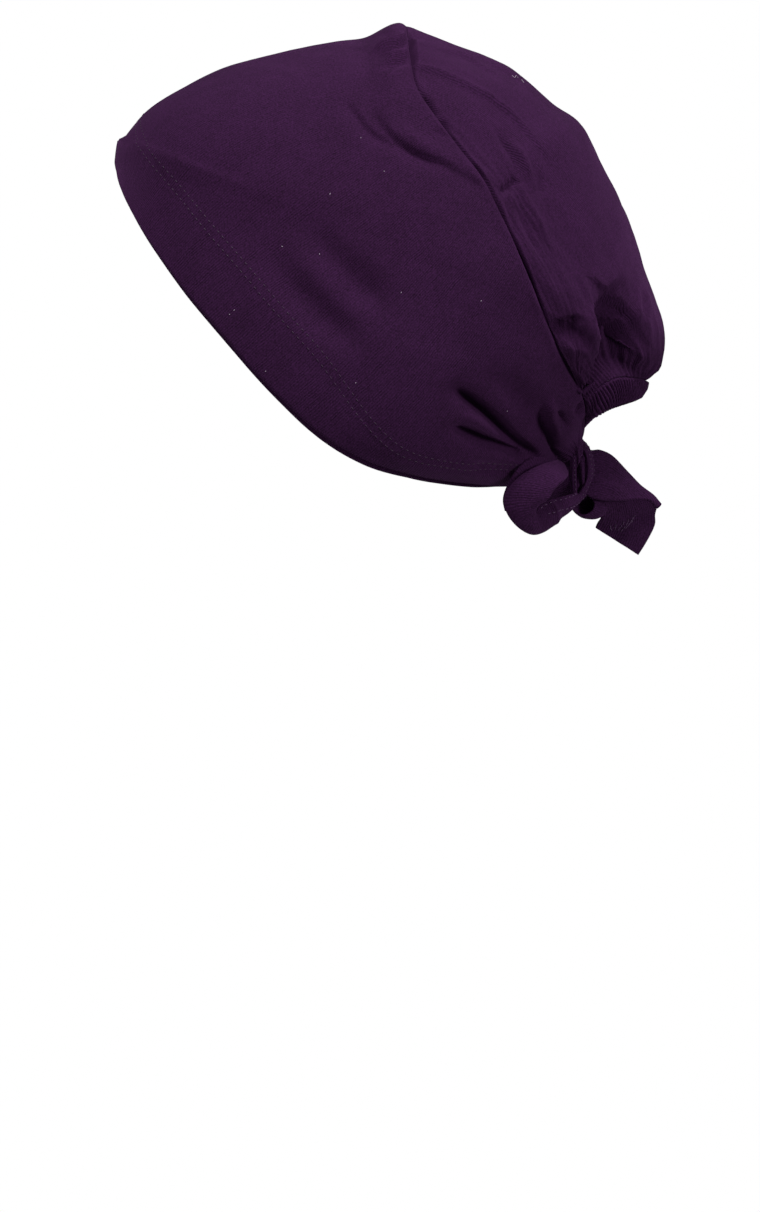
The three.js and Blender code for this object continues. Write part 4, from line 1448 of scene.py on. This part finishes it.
@dataclass
class ElasticCasing:
    """The elastic at the nape in its casing, drawn up into fine ribs. Lengths are millimetres."""

    columns: int = 720
    rows: int = 28
    wall: float = 2.2
    height: float = 12.0
    belly: float = 0.7
    pitch: float = 1.5
    rib_depth: float = 0.65
    rib_sharpness: float = 0.25
    inner_depth: float = 0.5  # of the ribs inside, over those outside
    low_edge: float = 0.06  # share of the height over which the ribs end
    lean: float = 6.5
    lean_rise: tuple[float, float] = (6.0, 38.0)
    wander: Waves = Waves(0.35, 2.5, 0.625, 11)
    unevenness: Waves = Waves(0.25, 1.0, 1 / 3, 12)
    tuck_depths: tuple[float, ...] = (2.4, 2.2, 1.6)  # of the rows behind the pouch
    tuck_shares: tuple[float, ...] = (0.22, 0.12, 0.03)  # of the height, above the pouch's edge
    tuck_wall: float = 0.5  # over the full wall

    @staticmethod
    def edges(share: Array) -> tuple[Array, Array]:
        """The casing's two edges.

        Args:
            share: Shares from its right end to its left end.

        Returns:
            Points of the top edge and of the low edge.
        """
        top_end = beyond_seam(np.array([CASING_TOP_END]))
        low_end = beyond_seam(np.array([CASING_LOW_END]))
        top = both_sides(np.vstack([FORM.place(CASING[:, :3]), top_end]))
        low = both_sides(np.vstack([FORM.place(CASING[:, 3:]), low_end]))
        return curve_through(top, share), curve_through(low, share)

    def build(self, material: bpy.types.Material) -> bpy.types.Object:
        """Makes the casing, with a strip at its top that is tucked behind the pouch.

        A rib's height is a rounded cosine of its number: the distance from the middle of the back,
        plus a lean that grows down the casing and out from the middle, over the pitch. So the ribs
        stand upright at the middle and run backward as they go down at the sides. Noise varies
        their places and heights.

        Args:
            material: The gathered jersey.

        Returns:
            The piece.
        """
        top, low = self.edges(np.linspace(0.0, 1.0, self.columns))
        down = np.linspace(0.0, 1.0, self.rows)
        start = CLEARANCE / np.linalg.norm(low - top, axis=-1)[:, None]
        way = np.hstack([start - [self.tuck_shares], start + (1 - start) * down])
        down = np.concatenate([np.zeros(len(self.tuck_depths)), down])
        tucked = np.array([*self.tuck_depths] + [0.0] * self.rows)
        flat = top[:, None] + (low - top)[:, None] * way[..., None]
        normals = grid_normals(flat)
        grid = flat - normals * tucked[None, :, None]
        run = length_along(grid, 0)[:, self.rows // 2]
        away = np.abs(run - run[self.columns // 2])[:, None]
        number = (away + self.lean * down * smoothstep(away, *self.lean_rise)) / self.pitch
        number = number + self.wander.read(number, down)
        rib = np.cos(2 * np.pi * number) - self.rib_sharpness * np.cos(4 * np.pi * number)
        strength = 1.0 - self.unevenness.height + self.unevenness.read(number, down)
        ripple = self.rib_depth * strength * rib * (tucked == 0)
        belly = self.belly * np.sin(np.pi * down) ** 0.7
        edge = rounded((1 - down) * self.height, self.wall) * np.where(tucked > 0, self.tuck_wall, 1.0)
        half = self.wall / 2 * edge
        rise = half + belly + ripple * smoothstep(1 - down, 0.0, self.low_edge)
        outer = grid + normals * rise[..., None]
        inner = grid - normals * (half - self.inner_depth * ripple)[..., None]
        piece = closed_cloth("elastic_casing_cloth", outer, inner, cloth_map(grid, 0))
        return finish_piece(piece, material, "casing", "elastic_casing")


@dataclass
class Knot:
    """The knot: a band of cloth wound upright round the crossed ties. Lengths are millimetres."""

    columns: int = 144
    rows: int = 96
    pleats: int = 9
    pleat_depth: float = 0.7
    pleat_wander: float = 2.4
    squareness: float = 0.75

    @cached_property
    def grid(self) -> Array:
        """The lump's points, turn by rise.

        A ball whose three coordinates are drawn towards a box by a power below 1, with upright
        pleats: a cosine of the turn, which wanders with the rise.
        """
        turn = 2 * np.pi * np.arange(self.columns)[:, None] / self.columns
        rise = np.linspace(-np.pi / 2, np.pi / 2, self.rows + 2)[None, 1:-1]
        girth = np.cos(rise)
        ball = np.stack([girth * np.cos(turn), girth * np.sin(turn), np.sin(rise) + 0 * turn], axis=-1)
        lump = np.sign(ball) * np.abs(ball) ** self.squareness * (KNOT.half - self.pleat_depth)
        wander = 0.35 * np.sin(2.1 * rise) + 0.3 * np.sin(3 * turn + 2 * rise)
        pleat = np.cos(self.pleats * turn + self.pleat_wander * wander) * girth**0.7
        return KNOT.centre + lump + ball * (self.pleat_depth * pleat)[..., None]

    def build(self, material: bpy.types.Material) -> bpy.types.Object:
        """Makes the knot, closed at its two poles.

        Args:
            material: The jersey.

        Returns:
            The piece.
        """
        grid = self.grid
        poles = np.stack([grid[:, 0].mean(axis=0), grid[:, -1].mean(axis=0)])
        size = self.columns * self.rows
        number = np.arange(size).reshape(self.columns, self.rows)
        after = np.roll(number, -1, axis=0)
        low = np.stack([after[:, 0], number[:, 0], np.full(self.columns, size)], axis=-1)
        high = np.stack([number[:, -1], after[:, -1], np.full(self.columns, size + 1)], axis=-1)
        faces = [quads(self.columns, self.rows, 0, looped=True), low, high]
        knit = cloth_map(np.concatenate([grid, grid[:1]]), self.rows // 2)[:-1].reshape(-1, 2)
        knit = np.vstack([knit, [[0.0, 0.0], [0.0, 2 * KNOT.half[2]]]])
        piece = make_mesh("knot_cloth", np.vstack([grid.reshape(-1, 3), poles]), faces, knit)
        return finish_piece(piece, material, "jersey", "knot")


@dataclass
class KnotLoop:
    """The small open curl of cloth under the knot. Lengths are millimetres."""

    columns: int = 120
    rows: int = 40
    wall: float = 0.8
    girth: float = 6.0  # cloth to a radian of turn, for the knit map
    waves: Waves = Waves(0.25, 0.5, 4.0, 31)

    def build(self, material: bpy.types.Material) -> bpy.types.Object:
        """Makes the curl.

        Its middle surface is an ellipse in the side view at each step, whose centre and half
        sizes run smoothly through the rows of CURL, from its open mouth to where it is pulled
        into the knot.

        Args:
            material: The jersey.

        Returns:
            The piece.
        """
        curl = curve_through(CURL, np.linspace(0.0, 1.0, self.rows))[None]
        turn = -2 * np.pi * np.arange(self.columns)[:, None] / self.columns
        grid = KNOT.centre + np.stack([
            curl[..., 0] + 0 * turn,
            curl[..., 1] + curl[..., 3] * np.cos(turn),
            curl[..., 2] + curl[..., 4] * np.sin(turn),
        ], axis=-1)
        normals = grid_normals(grid, looped=True)
        down = length_along(grid, 1)
        grid = grid + normals * self.waves.read(np.cos(turn), down)[..., None]
        edge = np.minimum(down, down[:, -1:] - down)
        half = (self.wall / 2 * rounded(edge, self.wall))[..., None]
        knit = np.stack([self.girth * turn + 0 * down, down], axis=-1)
        piece = closed_cloth("knot_loop_cloth", grid + normals * half, grid - normals * half, knit, looped=True)
        return finish_piece(piece, material, "jersey", "knot_loop")


@dataclass(frozen=True, eq=False)
class Ribbon:
    """A strip of jersey between two edge curves, such as a tie or a turn of the knot.

    side is 1 if the strip shows the side that its step along, crossed with its step across,
    points to, and -1 if it shows the other. Lengths are millimetres.
    """

    name: str
    edges: Array
    side: int = 1
    nodes: tuple[str, ...] = ()
    columns: int = 220
    rows: int = 48
    wall: float = 1.4
    camber: float = 1.2
    folds: tuple[Fold, ...] = ()
    ribs_across: bool = False
    ripple: float = 0.22
    ripple_size: tuple[float, float] = (6.0, 5.0)
    seed: int = 20
    line_points: int = 80  # points that find a line of stitches on the strip

    @cached_property
    def middle(self) -> Array:
        """The strip's middle surface between its edges, arched across and moved by its folds.

        The places of its folds are millimetres: along the strip from its start, and across it from
        its outer edge.
        """
        share = np.linspace(0.0, 1.0, self.columns)
        out = curve_through(self.edges[:, :3], share)
        inn = curve_through(self.edges[:, 3:], share)
        across = np.linspace(0.0, 1.0, self.rows)
        grid = KNOT.centre + out[:, None] + (inn - out)[:, None] * across[None, :, None]
        places = self.places(grid)
        height = self.camber * np.sin(np.pi * across)[None, :] + fold_heights(places, self.folds)
        ripple = Waves(self.ripple, *self.ripple_size, self.seed)
        height = height + ripple.read(places[..., 0], places[..., 1])
        return grid + self.facing(grid) * height[..., None]

    def facing(self, grid: Array) -> Array:
        """The directions that the strip's shown side faces."""
        return self.side * grid_normals(grid)

    @staticmethod
    def places(grid: Array) -> Array:
        """Millimetres along the strip's middle line and across it from the outer edge."""
        return cloth_map(grid, grid.shape[1] // 2)

    def build(self, material: bpy.types.Material) -> bpy.types.Object:
        """Makes the strip's mesh, with rounded edges.

        Args:
            material: The jersey.

        Returns:
            The piece.
        """
        grid = self.middle
        normals = grid_normals(grid)
        places = self.places(grid)
        edge = np.minimum(places[..., 1], places[:, -1:, 1] - places[..., 1])
        half = (self.wall / 2 * rounded(edge, self.wall))[..., None]
        knit = places if self.ribs_across else places[..., ::-1]
        piece = closed_cloth(self.name, grid + normals * half, grid - normals * half, knit)
        return finish_piece(piece, material, "jersey", *self.nodes)

    def seam(self, lines: tuple[tuple[float, float, float, float], ...], pitch: float) -> list[Places]:
        """Places along straight lines on the shown side.

        Args:
            lines: For each line, its start and its end as shares along and across the strip.
            pitch: The distance from place to place.

        Returns:
            Places, directions along and directions outward, for each line.
        """
        grid = self.middle
        facing = self.facing(grid)
        steps = np.linspace(0.0, 1.0, self.line_points)
        found = []
        for along_start, across_start, along_end, across_end in lines:
            column = (along_start + (along_end - along_start) * steps) * (self.columns - 1)
            row = (across_start + (across_end - across_start) * steps) * (self.rows - 1)
            column, row = column.round().astype(int), row.round().astype(int)
            line = grid[column, row] + facing[column, row] * self.wall / 2
            line, first = np.unique(line, axis=0, return_index=True)
            order = first.argsort()
            found.append(evenly(line[order], facing[column, row][first[order]], pitch))
        return found


@dataclass
class Ties:
    """The near tie's loop, the rear tie and the turns of cloth round the knot."""

    left_face: Ribbon = Ribbon(
        "left_tie_cloth", LEFT_FACE, nodes=("left_tie",), camber=2.2, folds=LEFT_FACE_FOLDS,
        ribs_across=True, columns=320, rows=64,
    )
    left_inner: tuple[Ribbon, ...] = (
        Ribbon("left_tie_rim_cloth", LEFT_RIM, camber=1.0, ribs_across=True, seed=21),
        Ribbon("left_tie_inside_cloth", LEFT_WALL, camber=0.0, seed=28, columns=60, rows=40),
        Ribbon("left_tie_root_cloth", LEFT_ROOT, camber=1.0, seed=22, columns=90),
    )
    right_face: Ribbon = Ribbon(
        "right_tie_cloth", RIGHT_FACE, side=-1, nodes=("right_tie",), camber=1.6,
        folds=RIGHT_FACE_FOLDS, seed=23,
    )
    right_end: Ribbon = Ribbon(
        "right_tie_end_cloth", RIGHT_END, camber=0.4, folds=RIGHT_END_FOLDS, seed=24, rows=90, columns=110,
    )
    strap: Ribbon = Ribbon("knot_strap_cloth", KNOT_STRAP, side=-1, camber=0.8, wall=1.2, seed=25)
    strand: Ribbon = Ribbon("knot_strand_cloth", KNOT_STRAND, side=-1, camber=0.7, wall=1.2, seed=26, rows=24)
    side_strap: Ribbon = Ribbon(
        "knot_side_strap_cloth", SIDE_STRAP, side=-1, camber=0.4, wall=1.2, seed=27, rows=24,
    )
    hem_lines: tuple[tuple[float, ...], ...] = ((0.76, 0.62, 0.99, 0.2), (0.73, 0.9, 0.99, 0.8))
    strap_lines: tuple[tuple[float, ...], ...] = ((0.02, 0.3, 0.98, 0.3), (0.02, 0.7, 0.98, 0.7))
    side_lines: tuple[tuple[float, ...], ...] = ((0.02, 0.25, 0.98, 0.25),)
    hem_pitch: float = 2.6
    knot_pitch: float = 1.9
    overlock_pitch: float = 1.7

    def build(self, jersey: bpy.types.Material, thread: bpy.types.Material) -> None:
        """Args:
            jersey: The strips' material.
            thread: The stitches' material.
        """
        left = self.left_face.build(jersey)
        inner = [ribbon.build(jersey) for ribbon in self.left_inner]
        right = self.right_face.build(jersey)
        end = self.right_end.build(jersey)
        for ribbon in (self.strap, self.strand, self.side_strap):
            ribbon.build(jersey)
        hem = self.left_face.seam(self.hem_lines, self.hem_pitch)
        inner.append(stitching("tie_stitches", hem, thread, length=1.4, radius=0.24))
        rows = self.strap.seam(self.strap_lines, self.knot_pitch)
        rows += self.side_strap.seam(self.side_lines, self.knot_pitch)
        stitching("knot_stitches", rows, thread, length=0.9, radius=0.16)
        zigzag = self.right_end.seam(OVERLOCK, self.overlock_pitch)
        overlock = stitching("tie_overlock", zigzag, thread, length=1.6, radius=0.2)


@dataclass
class Fluff:
    """Specks of lint and an end of loose thread on the near side of the cap, in millimetres."""

    lint_radius: float = 0.14
    lint_lift: float = 0.12
    lint_seed: int = 5
    thread_radius: float = 0.13
    thread_lift: float = 0.25
    thread_points: int = 16
    thread_overlap: float = 1.4  # each short length of thread over the step between two points

    @staticmethod
    def on_cloth(outer: Array, places: Array) -> tuple[Array, Array]:
        """Finds places of the side view on the near side of a panel.

        Args:
            outer: The panel's outer points.
            places: y and z of each place.

        Returns:
            The panel's nearest points and its outward directions there.
        """
        near = outer[..., 0] > 0
        cloth, normals = outer[near], grid_normals(outer)[near]
        nearest = ((cloth[None, :, 1:] - places[:, None]) ** 2).sum(-1).argmin(axis=1)
        return cloth[nearest], normals[nearest]

    def lint(self, outer: Array, material: bpy.types.Material) -> bpy.types.Object:
        """Lays the specks of lint, each turned at random.

        Args:
            outer: The front panel's outer points.
            material: Their material.

        Returns:
            The piece.
        """
        points, up = self.on_cloth(outer, LINT[:, :2])
        turn = np.random.default_rng(self.lint_seed).uniform(-1.0, 1.0, (len(LINT), 3))
        radius = np.full(len(LINT), self.lint_radius)
        along = unit(np.cross(up, turn))
        piece = tiny_rods("lint", points + self.lint_lift * up, along, up, LINT[:, 2], radius)
        return finish_piece(piece, material, "thread")

    def loose_thread(self, outer: Array, material: bpy.types.Material) -> bpy.types.Object:
        """Lays the curled end of thread on the pouch's top fold.

        Args:
            outer: The pouch's outer points.
            material: Its material.

        Returns:
            The piece.
        """
        line = curve_through(THREAD_END, np.linspace(0.0, 1.0, self.thread_points))
        cloth, up = self.on_cloth(outer, line)
        points = cloth + self.thread_lift * up
        points[:, 1:] = line
        steps = np.diff(points, axis=0)
        centres = (points[:-1] + points[1:]) / 2
        length = self.thread_overlap * np.linalg.norm(steps, axis=1)
        radius = np.full(len(length), self.thread_radius)
        piece = tiny_rods("loose_thread", centres, unit(steps), up[:-1], length, radius)
        return finish_piece(piece, material, "thread")


@dataclass(frozen=True)
class FarLight:
    """A broad far light: its strength, the angle that it fills in degrees, and the way to it."""

    name: str
    strength: float
    spread: float
    way: tuple[float, float, float]

    def build(self) -> None:
        """Adds the light."""
        light = bpy.data.lights.new(self.name, "SUN")
        light.energy = self.strength
        light.angle = np.radians(self.spread)
        lamp = bpy.data.objects.new(self.name, light)
        aim = mathutils.Vector([-part for part in self.way])
        lamp.rotation_euler = aim.to_track_quat("-Z", "Y").to_euler()
        bpy.context.scene.collection.objects.link(lamp)


@dataclass
class Studio:
    """The floor, the light and the camera, in metres."""

    floor_drop: float = 2.4
    floor_size: float = 1.6
    dome: float = 0.14
    lights: tuple[FarLight, ...] = (
        FarLight("key_light", 2.35, 28.0, (0.43, 0.02, 0.9)),
        FarLight("front_light", 0.6, 22.0, (0.72, -0.6, 0.35)),
        FarLight("rear_light", 1.15, 22.0, (0.5, 0.84, 0.15)),
    )
    camera_distance: float = 3.0
    frame_height: float = 0.4848
    camera_y: float = 0.012
    camera_z: float = -0.2256
    camera_sees: float = 200.0
    sensor: float = 36.0  # mm

    def build(self) -> None:
        """Sets up the studio."""
        bpy.context.scene.view_settings.view_transform = "Standard"
        self.world()
        self.floor()
        for light in self.lights:
            light.build()
        self.camera()

    def world(self) -> None:
        """Makes the white surroundings: seen at full white, and dimmer as the dome that gives light."""
        world = bpy.data.worlds.new("studio")
        add = empty_nodes(world)
        seen = add("ShaderNodeLightPath").outputs["Is Camera Ray"]
        strength = add("ShaderNodeMapRange", {"Value": seen, "To Min": self.dome, "To Max": 1.0})
        white = {"Color": (1.0, 1.0, 1.0, 1.0), "Strength": strength.outputs[0]}
        background = add("ShaderNodeBackground", white)
        add("ShaderNodeOutputWorld", {"Surface": background.outputs[0]})
        bpy.context.scene.world = world

    def floor(self) -> None:
        """Makes the pale floor below the cap."""
        half, drop = self.floor_size / 2 / MM, self.floor_drop / MM
        corners = half * np.array([[-1, -1, 0], [1, -1, 0], [1, 1, 0], [-1, 1, 0]])
        plane = make_mesh("floor", corners - (0, 0, drop), [np.array([[0, 1, 2, 3]])])
        # Matt paper scatters light evenly and shows no gloss
        paper = bpy.data.materials.new("matt_paper")
        paper.use_nodes = True
        shader = paper.node_tree.nodes["Principled BSDF"]
        shader.inputs["Base Color"].default_value = srgb("#f6f6f6")
        shader.inputs["Roughness"].default_value = 1.0
        shader.inputs["Specular IOR Level"].default_value = 0.0
        plane.data.materials.append(paper)

    def camera(self) -> None:
        """Adds a level camera on the wearer's left, whose lens gives the frame its real height."""
        lens = bpy.data.cameras.new("camera")
        lens.sensor_width = self.sensor
        lens.lens = self.sensor * self.camera_distance / self.frame_height
        lens.clip_end = self.camera_sees
        camera = bpy.data.objects.new("camera", lens)
        camera.location = (self.camera_distance, self.camera_y, self.camera_z)
        camera.rotation_euler = (np.pi / 2, 0.0, np.pi / 2)
        bpy.context.scene.collection.objects.link(camera)
        bpy.context.scene.camera = camera


def main() -> None:
    logging.basicConfig(level=logging.INFO, format="%(name)s %(message)s")
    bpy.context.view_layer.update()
    jersey = ViscoseJersey("viscose_jersey_knitted").build()
    casing_cloth = ViscoseJersey("viscose_jersey_over_elastic", rib_pitch=0.8).build()
    thread = SewingThread().build()
    hem_thread = SewingThread("spun_polyester_thread_of_the_hem", "#452649").build()
    pale_lint = SewingThread("pale_cotton_lint", "#c9b4cc", 0.8).build()
    fluff = Fluff()

    front = FrontPanel()
    panel = front.build(jersey)
    trim = [front.stitches(hem_thread), fluff.lint(front.outer, pale_lint), SeamAllowance().build(jersey)]

    back = BackPanel()
    pouch = back.build(jersey)
    trim = [fluff.loose_thread(back.outer, pale_lint)]

    casing = ElasticCasing().build(casing_cloth)
    Knot().build(jersey)
    KnotLoop().build(jersey)
    Ties().build(jersey, thread)

    Studio().build()


if __name__ == "__main__":
    main()
